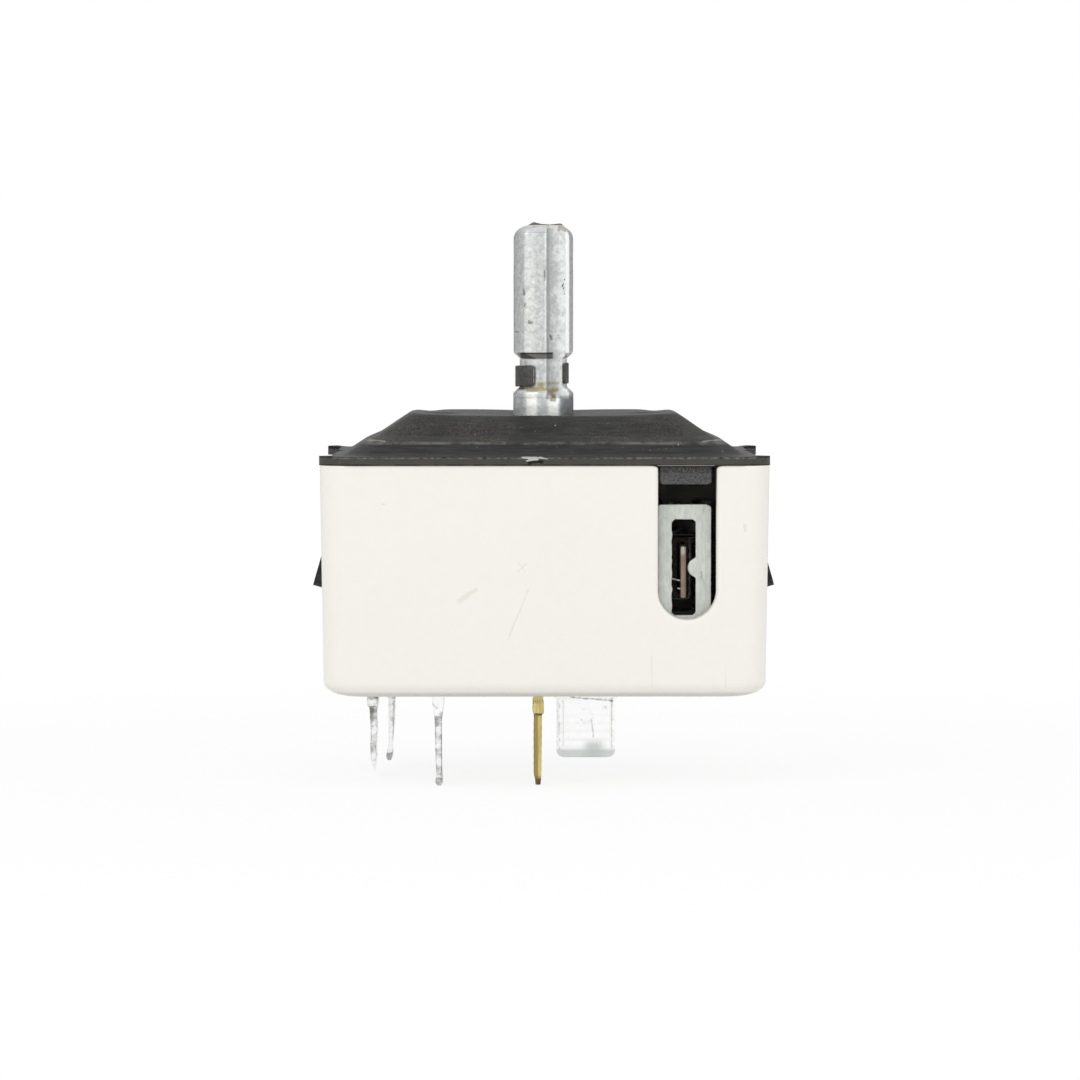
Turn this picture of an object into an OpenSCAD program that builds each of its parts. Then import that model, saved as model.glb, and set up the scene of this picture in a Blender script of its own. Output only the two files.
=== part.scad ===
// Rotary heat control switch for one cooktop element.
// A push-to-turn shaft carries a spiral cam. The cam swings a bimetal lever,
// whose heated blade works a sliding plate that opens the cycling contacts.
// Origin: middle of the cover's raised face, on the shaft axis, +Z up the shaft.
// The front, at -Y, is the side with the inspection slot. Millimetres.

/* [Housing] */
// Width of the housing at its rim
body_w = 46.6; // [45:0.1:58]
// Depth of the housing at its rim
body_d = 35.6; // [34:0.1:44]
// Height of the housing
body_h = 24.4; // [23.5:0.1:30]
// Thickness of the side walls at the rim
wall = 2.1; // [1.7:0.1:2.6]
// Thickness of the floor
floor_t = 2.5; // [2:0.1:3.2]
// Draft of each side wall, over the whole height
draft = 0.35; // [0.1:0.05:0.5]
// Radius of the upright corners
corner_r = 2.3; // [1.5:0.1:4]
// Radius of the bottom edge
bottom_r = 1.7; // [0.8:0.1:2]
// Centre of the inspection slot, from the shaft axis
slot_x = 14.72; // [14.2:0.02:15.2]
// Width of the inspection slot
slot_w = 6.06; // [5:0.02:7]
// Length of the inspection slot, from the rim
slot_len = 15.95; // [12:0.05:18]

/* [Cover] */
// Thickness of the cover sheet
sheet_t = 0.95; // [0.7:0.05:1.2]
// Height of the raised face above the flange
press_h = 4.33; // [3.6:0.05:5]
// Inset of the raised face from the flange edge
press_inset = 9.4; // [8:0.1:10]
// Width of the two side legs
leg_w = 8; // [6:0.5:10]
// Length of the side legs below the flange
leg_len = 13.1; // [11:0.1:15]
// Distance between the two panel screws
screw_pitch = 22.2; // [20:0.1:24]
// Radius of the panel screw holes
screw_r = 1.5; // [1.2:0.05:1.8]

/* [Shaft] */
// Diameter of the knob stem
shaft_d = 6.35; // [6:0.01:6.5]
// Height of the stem above the cover
stem_h = 20.1; // [16:0.1:30]
// Depth of the flat across the front of the stem, from the shaft axis
flat_y = 2.43; // [2:0.01:2.8]
// Depth of the clip groove
groove = 0.625; // [0.5:0.025:0.775]
// Push travel of the shaft
push = 2.5; // [1.5:0.1:2.6]
// Width across the drive flats
drive_af = 4.4; // [4:0.1:4.8]

/* [Cam] */
// Smallest radius of the spiral track
cam_r = 8.3; // [7.6:0.05:8.6]
// Turn from off to high, in degrees
cam_turn = 300; // [270:5:310]
// Radius of the contact track
track_r = 8.4; // [8:0.1:8.8]
// Radius of the hub
hub_r = 5.8; // [5.4:0.1:6.4]

/* [Lever and blade] */
// Swing of the lever from off to high, in degrees
lever_swing = 4; // [3:0.1:4.2]
// Thickness of the bimetal blade
blade_t = 0.62; // [0.4:0.02:0.8]
// Height of the bimetal blade
blade_h = 5.35; // [4:0.05:6]
// Radius of the lever pin
pin_r = 1; // [0.8:0.05:1.1]

/* [Terminals] */
// Width of the push-on tabs
tab_w = 6.35; // [4.8:0.05:6.6]
// Thickness of the strip that the terminals are cut from
tab_t = 0.8; // [0.5:0.05:0.9]

/* [Fits] */
// Running clearance, on the radius
run = 0.06; // [0.03:0.01:0.1]
// Gap between still pieces that are pushed together
snug = 0.03; // [0.02:0.01:0.05]

/* [Hidden] */
$fn = 64;
e = 0.01;

// Levels, from the cover down
z_rim = -press_h - sheet_t;
z_base = z_rim - body_h;
z_floor = z_base + floor_t;
in_x = body_w / 2 - wall;
in_y = body_d / 2 - wall;

// Side legs of the cover, and the housing nubs that hold them
leg_x = body_w / 2 - sheet_t;
nub_z = z_rim - 9;

// Slot beside the front flat of the stem, with a rib in it
rib_x = 1.67;
rib_r = 0.75;
slot_left = 0.33;
slot_right = 2.7;
slot_floor = -1.2;

// Shaft sizes and levels
neck_d = shaft_d - 2 * groove;
collar_h = 2.4;
collar_r = shaft_d / 2 + 0.04;
neck_top = 5.9;
flange_r = 4.7;
flange_t = 1.4;
flange_z = -sheet_t - 0.05;
drive_d = 5.8;
pilot_r = 1.6;

// Boss that the cam and the shaft turn on
boss_r = 4;
boss_top = z_floor + 5.2;
drive_end = boss_top + push + 1;
pilot_end = z_floor + 2.2;

// Cam levels
cam_top = -8;
detent_r = 8.6;
detent_z = [-9.6, -8];
detent_t = 0.3;
detent_x = -detent_r - 2.35;
detent_root = -8.4;
spiral_z = [-12.4, -10];
track_z = [boss_top - 0.2, boss_top + 2.8];
cam_foot = z_floor + 1.55;
notch_r = 2.2;
lug_half = 12;
lug_at = 225;
stop_gap = 1.5;

// Actuator plate, behind the front wall
plate_t = 0.8;
plate_y = -in_y + 0.5;
plate_x = [slot_x - 2.97, slot_x + 2.5];
plate_top = -9.35;
plate_foot = z_floor + 1.2;
bar_z = [z_floor + 2.8, z_floor + 7.8];
plate_travel = 0.25;

// Bimetal blade: its right side stands just clear of the nib on the plate
nib_r = 1;
nib_tip = slot_x + 0.11;
nib_z = -15.94;
blade_x = nib_tip - 0.12 - blade_t;
blade_z = nib_z - 0.45;
blade_front = plate_y - 0.4;
blade_back = 12.4;
sleeve_t = 0.45;
sleeve_y = [-6, 6.4];

// Lever, and the screw whose domed tip rides on the cam
lever_t = 0.8;
lever_x = blade_x - 2.1;
lever_top = -9.8;
lever_foot = z_floor + 5.7;
pivot = [slot_x + 2.48, plate_y + 5.2];
nose_r = 0.9;
nose_gap = 0.08;
nose = [cam_r + nose_r + nose_gap, 0];
screw_z = (spiral_z[0] + spiral_z[1]) / 2;

// Cycling contact, between the front terminals
arm_t = 0.3;
arm_x = -8.4;
arm_y = plate_y + 2.9;
arm_w = 3.6;
arm_foot = z_floor + tab_t + 0.05;
arm_top = -12;
contact_z = -13.6;
hook_z = (bar_z[0] + bar_z[1]) / 2;

// Terminals: place, blade length below the base, angle of the blade
t_l1 = [-0.66, plate_y + 2.7];
t_h1 = [-11.05, plate_y + 2.9];
t_p = [-18.1, -2.8];
t_l2 = [-16.35, 7.2];
t_h2 = [4.62, 5];
neck_w = 4.4;
collar_t = 1.26;
collar_z = 1.4;
tip_bevel = 0.2;

// Line contact arm, behind the cam
line_t = 0.35;
line_y = track_r + 1.35;
line_z = [boss_top + 0.1, boss_top + 2.5];
line_end = 6.8;
rivet_x = -14.4;
contact_mid = (line_z[0] + line_z[1]) / 2;
strip_z = [line_z[0] - 0.6, line_z[1] + 0.5];
strip_y = line_y + line_t + 2.3;
pilot_x = -4.2;
line_x = 5.2;
bump_r = 1.7;

// Points round a rectangle with rounded corners, at one height
function ring(hx, hy, r, z, n = 6) = [
    for (q = [0:3], i = [0:n])
        let (a = 90 * (q + i / n), sx = q == 0 || q == 3 ? 1 : -1, sy = q < 2 ? 1 : -1)
        [sx * (hx - r) + r * cos(a), sy * (hy - r) + r * sin(a), z]];

// Solid through a stack of such rings: each is [half width, half depth, radius, height]
module loft(rings, n = 6) {
    m = 4 * (n + 1);
    k = len(rings);
    pts = [for (g = rings) each ring(g[0], g[1], g[2], g[3], n)];
    sides = [for (j = [0:k - 2], i = [0:m - 1])
        [j * m + i, j * m + (i + 1) % m, (j + 1) * m + (i + 1) % m, (j + 1) * m + i]];
    polyhedron(pts, concat([[for (i = [0:m - 1]) i]], [[for (i = [m - 1:-1:0]) (k - 1) * m + i]],
        [for (s = sides) [s[3], s[2], s[1], s[0]]]), convexity = 6);
}

// Wire of radius r through points, with a closed end cap at each end
module wire(path, r, n = 6) {
    k = len(path);
    dir = [for (i = [0:k - 1]) let (d = path[min(i + 1, k - 1)] - path[max(i - 1, 0)]) d / norm(d)];
    pts = [for (i = [0:k - 1])
        let (u = cross(dir[i], abs(dir[i][2]) > 0.8 ? [1, 0, 0] : [0, 0, 1]),
            a = u / norm(u), b = cross(dir[i], a))
        for (j = [0:n - 1]) path[i] + r * (a * cos(360 * j / n) + b * sin(360 * j / n))];
    sides = [for (i = [0:k - 2], j = [0:n - 1])
        [i * n + j, (i + 1) * n + j, (i + 1) * n + (j + 1) % n, i * n + (j + 1) % n]];
    polyhedron(pts, concat([[for (j = [0:n - 1]) j]], [[for (j = [n - 1:-1:0]) (k - 1) * n + j]], sides),
        convexity = 10);
}

// Box between two corners
module block(a, b) {
    translate([min(a[0], b[0]), min(a[1], b[1]), min(a[2], b[2])])
        cube([abs(b[0] - a[0]), abs(b[1] - a[1]), abs(b[2] - a[2])]);
}

// Straight drill or rod along X, Y or Z, from one end to the other
module rod(r, from, to, along = "z") {
    turn = along == "x" ? [0, 90, 0] : along == "y" ? [-90, 0, 0] : [0, 0, 0];
    rotate(turn) translate([0, 0, from]) cylinder(r = r, h = to - from);
}

// Sector of a flat ring
module sector(r0, r1, from, to, z0, z1) {
    rotate([0, 0, from]) rotate_extrude(angle = to - from)
        translate([r0, z0]) square([r1 - r0, z1 - z0]);
}

// Slot in the floor for the neck of a terminal
module floor_slot(at, turned) {
    translate([at[0], at[1], z_base - 1]) rotate([0, 0, turned ? 0 : 90])
        linear_extrude(floor_t + 2) square([neck_w + 2 * snug, tab_t + 2 * snug], center = true);
}

module housing() {
    x = body_w / 2;
    y = body_d / 2;
    color("ivory") difference() {
        union() {
            difference() {
                loft([for (a = [0:22.5:90])
                        let (in = draft + bottom_r * (1 - sin(a)))
                        [x - in, y - in, corner_r - 0.6 * (1 - sin(a)), z_base + bottom_r * (1 - cos(a))],
                    [x, y, corner_r, z_rim]]);
                translate([0, 0, z_floor]) linear_extrude(body_h)
                    rounded(in_x, in_y, corner_r - 1);
            }
            // boss for the cam and shaft, with the turn stop at its foot
            rod(boss_r, z_floor - e, boss_top);
            sector(boss_r - 0.5, boss_r + 1.5, lug_at + lug_half + stop_gap,
                lug_at + 360 - cam_turn - lug_half - stop_gap, z_floor - e, cam_foot - 0.15);
            // post for the lever pin
            translate(pivot) rod(2.2, z_floor - e, lever_foot - 0.3);
            // rail and guide ribs for the actuator plate
            block([plate_x[0] - 0.4, -in_y - e, z_floor - e], [plate_x[1] + 0.4, plate_y + 2, plate_foot - 0.05]);
            block([plate_x[0], plate_y + plate_t + 0.05, z_floor - e],
                [plate_x[1], plate_y + 2, plate_foot + 1.2]);
            for (x = [2.4, 8.6])
                block([x, plate_y + plate_t + 0.05, z_floor - e], [x + 1.2, plate_y + 2.3, bar_z[1] + 0.6]);
            // post and rib that hold the detent spring
            block([-12, detent_root - 1.2, z_floor - e], [-9.6, detent_root + 1.2, -7.4]);
            block([-in_x - e, detent_root - 0.5, z_floor - e], [-11.8, detent_root + 0.5, -13]);
        }
        // bore for the shaft pilot, and for the lever pin
        rod(pilot_r + 0.05, pilot_end - push - 0.5, boss_top + 1);
        translate(pivot) rod(pin_r + snug, z_floor - 0.6, z_floor + 12);
        // inspection slot, open at the rim
        translate([slot_x, 0, 0]) {
            block([-slot_w / 2, -body_d, z_rim - slot_len + slot_w / 2], [slot_w / 2, -in_y + e, z_rim + 1]);
            translate([0, 0, z_rim - slot_len + slot_w / 2]) rod(slot_w / 2, -body_d, -in_y + e, "y");
            // its corners at the rim are rounded
            for (s = [-1, 1]) translate([s * slot_w / 2, 0, z_rim]) rotate([90, 0, 0])
                translate([0, 0, in_y - e]) linear_extrude(body_d)
                    polygon(concat([[-s * 0.1, -0.35], [-s * 0.1, e], [s * 0.35, e]],
                        [for (a = [90:-15:0]) [s * 0.35 * (1 - cos(a)), 0.35 * (sin(a) - 1)]]));
        }
        // recesses for the cover legs, each with the nub that its window snaps over
        for (s = [-1, 1]) difference() {
            block([s * (leg_x - 0.05), -leg_w / 2 - 0.15, z_rim + 1],
                [s * (x + 1), leg_w / 2 + 0.15, z_rim - leg_len - 1.2]);
            translate([0, 1.6, 0]) rotate([90, 0, 0]) linear_extrude(3.2)
                polygon([[s * (leg_x - 1), nub_z], [s * (leg_x + 0.75), nub_z],
                    [s * (leg_x - 0.05), nub_z + 2.4], [s * (leg_x - 1), nub_z + 2.4]]);
        }
        floor_slot(t_l1, false);
        floor_slot(t_h1, false);
        floor_slot(t_p, false);
        floor_slot(t_l2, false);
        floor_slot(t_h2, true);
        // slit for the root of the detent spring
        block([detent_x - 0.03, detent_root - 2, -11], [detent_x + detent_t + 0.03, detent_root + 2, -7]);
    }
}

// Rectangle with rounded corners, from true arcs
module rounded(hx, hy, r) {
    square([2 * hx, 2 * (hy - r)], center = true);
    square([2 * (hx - r), 2 * hy], center = true);
    for (x = [-1, 1], y = [-1, 1]) translate([x * (hx - r), y * (hy - r)]) circle(r);
}

// Outer skin of the pressing, from the flange up: inset from the flange edge, drop below the raised face
press_steps = [[0, press_h], [2.3, press_h], [2.75, press_h - 0.18], [3.6, press_h - 0.75],
    [4.3, press_h - 1.22], [4.9, press_h - 1.48], [5.9, press_h - 1.9], [6.4, press_h - 2.25],
    [press_inset - 0.35, 0.22], [press_inset, 0.04], [press_inset + 0.4, 0]];

module pressing(drop, grow, bottom) {
    x = body_w / 2 + 0.1;
    y = body_d / 2 + 0.1;
    loft(concat([[x - grow, y - grow, corner_r, bottom]],
        [for (s = press_steps) [x - s[0] - (s[0] > 0 ? grow : 0), y - s[0] - (s[0] > 0 ? grow : 0),
            max(corner_r + 1 - s[0] * 0.12, 1.2), -s[1] - drop]]));
}

module cover() {
    hx = body_w / 2;
    hy = body_d / 2;
    color("#3c3c3c") difference() {
        union() {
            difference() {
                pressing(0, 0, z_rim);
                pressing_hollow();
            }
            // collars drawn down round the two panel screws
            for (s = [-1, 1]) translate([s * screw_pitch / 2, 0, 0]) rod(screw_r + 0.7, -2.3, -sheet_t / 2);
            // tab bent down into the inspection slot
            block([slot_x - slot_w / 2 + 0.2, -hy + 0.5, z_rim - 1.92],
                [slot_x + slot_w / 2 - 0.55, -hy + 0.5 + sheet_t, z_rim + e]);
            // side legs, flared at their ends, with snap windows
            for (s = [-1, 1]) difference() {
                translate([0, leg_w / 2, 0]) rotate([90, 0, 0]) linear_extrude(leg_w)
                    polygon([[s * leg_x, z_rim + e], [s * hx, z_rim + e], [s * hx, z_rim - leg_len + 4],
                        [s * (hx + 1.15), z_rim - leg_len], [s * (hx + 0.3), z_rim - leg_len - 0.25],
                        [s * leg_x, z_rim - leg_len + 3.8]]);
                block([s * (leg_x - 1), -1.8, nub_z - 0.3], [s * (hx + 1), 1.8, nub_z + 2.6]);
            }
        }
        rod(collar_r + run, -sheet_t - 1, 1);
        for (s = [-1, 1]) translate([s * screw_pitch / 2, 0, 0]) rod(screw_r, -4, 1);
    }
}

// Inside of the pressing, one sheet thickness below the outer skin
module pressing_hollow() {
    x = body_w / 2 + 0.1;
    y = body_d / 2 + 0.1;
    steps = [for (s = press_steps) if (s[0] > 2) s];
    loft(concat([[x - steps[0][0] - 0.55, y - steps[0][0] - 0.55, corner_r, z_rim - 1]],
        [for (s = steps) [x - s[0] - 0.55, y - s[0] - 0.55,
            max(corner_r + 0.6 - s[0] * 0.12, 1), -s[1] - sheet_t]]));
}

// Section of the knob stem: round, with a front flat, a slot beside it and a rib in the slot
module stem_section(d) {
    difference() {
        circle(d = d);
        translate([-d, -d - flat_y]) square([d + slot_left, d]);
        polygon([[slot_left, -d], [slot_left, slot_floor], [slot_right - 0.28, slot_floor],
            [slot_right, slot_floor - 0.45], [slot_right, -d]]);
    }
    intersection() {
        circle(d = d);
        translate([rib_x, slot_floor]) circle(rib_r);
    }
}

module shaft() {
    r = shaft_d / 2;
    step = collar_h - 0.7;
    color("silver") {
        intersection() {
            translate([0, 0, step]) linear_extrude(stem_h - step + 1) stem_section(shaft_d);
            // turned envelope: clip groove, chamfered shoulders and domed tip
            rotate_extrude() polygon([[0, 0], [r, 0], [r, collar_h - 0.45], [r - 0.45, collar_h],
                [neck_d / 2, collar_h], [neck_d / 2, neck_top - 0.1], [r - 0.5, neck_top - 0.1],
                [r, neck_top + 0.45], [r, stem_h - 1.2], [r - 0.2, stem_h - 0.5],
                [r - 0.75, stem_h - 0.1], [r - 1.3, stem_h], [0, stem_h]]);
        }
        // round collar in the cover, retaining flange, drive flats and pilot
        rod(collar_r, flange_z - e, step + e);
        rod(flange_r, flange_z - flange_t, flange_z);
        translate([0, 0, drive_end]) linear_extrude(flange_z - flange_t - drive_end + e) drive(0);
        rod(pilot_r, pilot_end, drive_end + e);
    }
}

// Round section with two drive flats
module drive(gap) {
    intersection() {
        circle(d = drive_d + 2 * gap);
        square([drive_d + 2, drive_af + 2 * gap], center = true);
    }
}

module knob_clip() {
    color("dimgray") sector(neck_d / 2 + snug, shaft_d / 2 - 0.12, -35, 250, 2.75, 5.25);
}

module return_spring() {
    turns = 4.5;
    r = 0.3;
    top = flange_z - flange_t - r - 0.05;
    low = cam_top + r + 0.05;
    color("lightgray") wire([for (i = [0:20 * turns])
        let (a = 18 * i, t = i / (20 * turns)) [3.75 * cos(a), 3.75 * sin(a), low + (top - low) * t]], r, 8);
}

// Point of the calibrating screw's dome when the lever has swung by a
function nose_at(a) = let (d = nose - pivot)
    pivot + [d[0] * cos(a) - d[1] * sin(a), d[0] * sin(a) + d[1] * cos(a)];

// Spiral track, drawn by the dome as the cam turns: angle on the cam, radius
spiral = [for (turn = [0:5:cam_turn])
    let (p = nose_at(-lever_swing * turn / cam_turn))
    [atan2(p[1], p[0]) + turn, norm(p) - nose_r - nose_gap]];
spiral_end = spiral[len(spiral) - 1];

module cam() {
    ramp = [for (t = [0:0.125:1])
        [spiral_end[0] + 14 + t * (346 - spiral_end[0] - 14),
            spiral_end[1] + (cam_r - spiral_end[1]) * (1 - cos(180 * t)) / 2]];
    outline = concat(spiral, [[spiral_end[0] + 7, spiral_end[1]]], ramp, [[353, cam_r]]);
    color("#2a2624") difference() {
        union() {
            rod(hub_r, cam_foot, cam_top);
            translate([0, 0, spiral_z[0]]) linear_extrude(spiral_z[1] - spiral_z[0])
                polygon([for (p = outline) p[1] * [cos(p[0]), sin(p[0])]]);
            rod(detent_r, detent_z[0], detent_z[1]);
            rod(track_r, track_z[0], track_z[1]);
            sector(boss_r + 0.3, boss_r + 1.1, lug_at - lug_half, lug_at + lug_half, z_floor + 0.3, cam_foot + 1);
        }
        // drive bore, and the counterbore that turns on the boss
        translate([0, 0, boss_top - 1]) linear_extrude(30) drive(0.05);
        rod(boss_r + run, cam_foot - 5, boss_top + 0.05);
        // notch that lets the line contact open at off
        translate([0, track_r + notch_r - 1, 0]) rod(notch_r, track_z[0] - 1, track_z[1] + 1);
        // detent notches at off and high
        for (a = [180, 180 + cam_turn])
            rotate([0, 0, a]) translate([detent_r + 1.3, 0, 0]) rod(1.75, detent_z[0] - 1, detent_z[1] + 1);
    }
}

module detent_spring() {
    color("silver") translate([0, 0, detent_z[0] - 0.1]) linear_extrude(1.9) {
        translate([detent_x, detent_root - 1.3]) square([detent_t, 1.3 - detent_root - 1.1]);
        translate([detent_x, 1.1]) square([detent_t, 3.4]);
        leaf_bump(detent_x + detent_t, -detent_r - 1.3 - detent_x - detent_t, 1.55, detent_t);
    }
}

// Round bump pressed out of a leaf that stands at x, with its centre off the leaf
module leaf_bump(x, off, r, t) {
    translate([x + off, 0]) difference() {
        circle(r);
        circle(r - t);
        translate([-off - t - 5, -5]) square([5, 10]);
    }
}

module thermal_lever() {
    back = blade_back + 0.5;
    color("lightsteelblue") difference() {
        union() {
            // web, back fold and the flap that carries the blade
            block([lever_x, pivot[1] - 1.6, lever_foot], [lever_x + lever_t, pivot[1] + 2.4, lever_top]);
            block([lever_x, pivot[1] + 2.4 - e, blade_z - 2.9], [lever_x + lever_t, back, lever_top]);
            block([lever_x, back - lever_t, blade_z - 2.9], [blade_x, back, blade_z + 2.9]);
            block([blade_x - lever_t, 8.3, blade_z - 2.4], [blade_x, back, blade_z + 2.4]);
            // ears above and below the blade, round the pin
            for (z = [lever_foot, lever_top - lever_t]) translate([0, 0, z]) linear_extrude(lever_t) {
                translate([lever_x, pivot[1] - 1.6]) square([pivot[0] - lever_x, 3.2]);
                translate(pivot) circle(2);
            }
        }
        translate(pivot) rod(pin_r + 0.05, z_floor, 0);
        translate([0, nose[1], screw_z]) rod(nose_r + snug, lever_x - 1, lever_x + 2, "x");
        // lightening window in the web
        block([lever_x - 1, -4.5, blade_z - 1.4], [lever_x + 1.5, 9.5, blade_z + 1.4]);
        rivet_holes(0.5 + snug);
    }
}

module rivet_holes(r) {
    for (y = [9.4, 11.2]) translate([0, y, blade_z]) rod(r, blade_x - 2, blade_x + 2, "x");
}

module lever_pin() {
    color("gainsboro") translate(pivot) {
        rod(pin_r, z_floor - 0.5, lever_top + 0.05 + e);
        rod(pin_r + 0.7, lever_top + 0.05, lever_top + 0.7);
    }
}

module lever_spring() {
    r = 0.22;
    turns = 6;
    coil = pin_r + 0.45;
    low = lever_foot + lever_t + r + 0.1;
    high = blade_z + blade_h / 2 + 0.9;
    arc = [for (i = [0:14 * turns])
        let (a = 90 + 360 * i / 14, t = i / (14 * turns))
        [pivot[0] + coil * cos(a), pivot[1] + coil * sin(a), low + (high - low) * t]];
    // one leg bears on the side wall, the other on the web of the lever
    color("silver") wire(concat([[in_x - r - 0.05, pivot[1] + coil, low], [pivot[0] + 0.6, pivot[1] + coil, low]],
        arc, [[pivot[0] - 0.6, pivot[1] + coil, high], [lever_x + lever_t + 0.05, pivot[1] + coil, high]]), r, 6);
}

module bimetal_blade() {
    color("peru") difference() {
        block([blade_x, blade_front, blade_z - blade_h / 2], [blade_x + blade_t, blade_back, blade_z + blade_h / 2]);
        rivet_holes(0.5 + snug);
    }
}

module blade_rivets() {
    color("gainsboro") for (y = [9.4, 11.2]) translate([0, y, blade_z]) {
        rod(0.5, blade_x - lever_t, blade_x + blade_t, "x");
        rod(0.9, blade_x - lever_t - 0.45, blade_x - lever_t, "x");
        rod(0.9, blade_x + blade_t, blade_x + blade_t + 0.45, "x");
    }
}

module heater_sleeve() {
    gap = 0.05;
    out = gap + sleeve_t;
    color("wheat") difference() {
        translate([blade_x + blade_t / 2, sleeve_y[1], blade_z]) rotate([90, 0, 0])
            linear_extrude(sleeve_y[1] - sleeve_y[0])
            rounded(blade_t / 2 + out, blade_h / 2 + out, 0.4);
        block([blade_x - gap, -20, blade_z - blade_h / 2 - gap],
            [blade_x + blade_t + gap, 20, blade_z + blade_h / 2 + gap]);
    }
}

module heater_winding() {
    turns = 8;
    r = 0.16;
    hx = blade_t / 2 + sleeve_t + r + 0.12;
    hz = blade_h / 2 + sleeve_t + r + 0.12;
    cx = blade_x + blade_t / 2;
    loop = [for (p = ring(hx, hz, 0.5, 0, 2)) [p[0], p[1]]];
    m = len(loop);
    start = 4;
    coil = [for (i = [0:m * turns])
        let (p = loop[(i + start) % m])
        [cx + p[0], -5 + 10.6 * i / (m * turns), blade_z + p[1]]];
    // lead to the free end of the blade, and tail to its root
    color("silver") wire(concat([[blade_x - r, plate_y + 1.35, nib_z - 1.25],
        [blade_x - 0.5, plate_y + 1.35, nib_z - 1.15], [cx - hx, plate_y + 2.2, nib_z],
        [cx - hx, -7, nib_z + 1]], coil, [[cx - hx + 0.1, 7, blade_z + hz - 0.6]]), r, 6);
}

module calibrating_screw() {
    color("goldenrod") translate([0, nose[1], screw_z]) difference() {
        union() {
            translate([nose[0], 0, 0]) sphere(nose_r);
            rod(nose_r, nose[0], lever_x + lever_t + 0.6, "x");
            rod(1.6, lever_x + lever_t + 0.6, lever_x + lever_t + 1.5, "x");
        }
        block([lever_x + lever_t + 1.1, -2, -0.25], [lever_x + lever_t + 3, 2, 0.25]);
    }
}

// Plate in the XZ plane: leg behind the slot, with the blade window and its nib, and a bar to the contact arm
module actuator_plate() {
    corner = 0.2;
    color("lightgray") translate([0, plate_y + plate_t, 0]) rotate([90, 0, 0]) linear_extrude(plate_t) {
        difference() {
            union() {
                difference() {
                    translate([plate_x[0], plate_foot]) square([plate_x[1] - plate_x[0], plate_top - plate_foot]);
                    for (s = [0, 1]) translate([plate_x[s], plate_top]) rotate(45)
                        square(corner * sqrt(2), center = true);
                }
                translate([arm_x - 2, bar_z[0]]) square([plate_x[0] - arm_x + 2.5, bar_z[1] - bar_z[0]]);
            }
            translate([slot_x - 0.285, nib_z + 0.04]) rounded(1.235, 5, 0.35);
            translate([arm_x - 0.57, hook_z - 1.15]) square([1.7, 2.3]);
        }
        intersection() {
            translate([nib_tip + nib_r, nib_z]) circle(nib_r);
            translate([nib_tip - 1, nib_z - 2]) square([slot_x + 0.95 + 0.1 - nib_tip + 1, 4]);
        }
    }
}

module cycling_arm() {
    color("darkorange") difference() {
        union() {
            block([arm_x - arm_t / 2, arm_y - arm_w / 2, arm_foot], [arm_x + arm_t / 2, arm_y + arm_w / 2, arm_top]);
            block([arm_x - arm_t / 2, plate_y - 0.2, hook_z - 0.6],
                [arm_x + arm_t / 2, arm_y - arm_w / 2 + e, hook_z + 0.6]);
        }
        translate([0, arm_y, contact_z]) rod(0.6 + snug, arm_x - 2, arm_x + 2, "x");
        // lightening hole
        translate([0, arm_y, contact_z - 4]) rod(0.9, arm_x - 2, arm_x + 2, "x");
    }
}

module arm_insulator() {
    color("white") difference() {
        block([arm_x - 0.42, plate_y - 0.15, hook_z - 0.9], [arm_x + 0.42, plate_y + plate_t + 0.2, hook_z + 0.9]);
        block([arm_x - arm_t / 2 - snug, -in_y - 5, hook_z - 0.6 - snug], [arm_x + arm_t / 2 + snug, 0, hook_z + 0.6 + snug]);
    }
}

// Riveted contact button: domed head of radius r and thickness t, shank through a leaf of thickness leaf
module button(r, t, leaf, shank = 0.6) {
    rotate_extrude() polygon([[0, -leaf - 0.4], [shank + 0.35, -leaf - 0.4], [shank + 0.35, -leaf],
        [shank, -leaf], [shank, 0], [r, 0], [r, t - 0.25], [r - 0.3, t], [0, t]]);
}

module cycling_moving_contact() {
    color("gainsboro") translate([arm_x - arm_t / 2, arm_y, contact_z]) rotate([0, -90, 0]) button(1.5, 0.8, arm_t);
}

module cycling_fixed_contact() {
    face = t_h1[0] + tab_t / 2;
    color("gainsboro") translate([face, t_h1[1], contact_z]) rotate([0, 90, 0])
        button(1.5, arm_x - arm_t / 2 - 0.8 - 0.02 - face, tab_t);
}

module line_arm_rivet() {
    grip = line_t + tab_t;
    color("gainsboro") translate([rivet_x, line_y + line_t, contact_mid]) rotate([-90, 0, 0])
        rotate_extrude() polygon([[0, -grip - 0.3], [0.95, -grip - 0.3], [0.95, -grip], [0.6, -grip],
            [0.6, 0], [0.95, 0], [0.8, 0.3], [0, 0.3]]);
}

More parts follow.
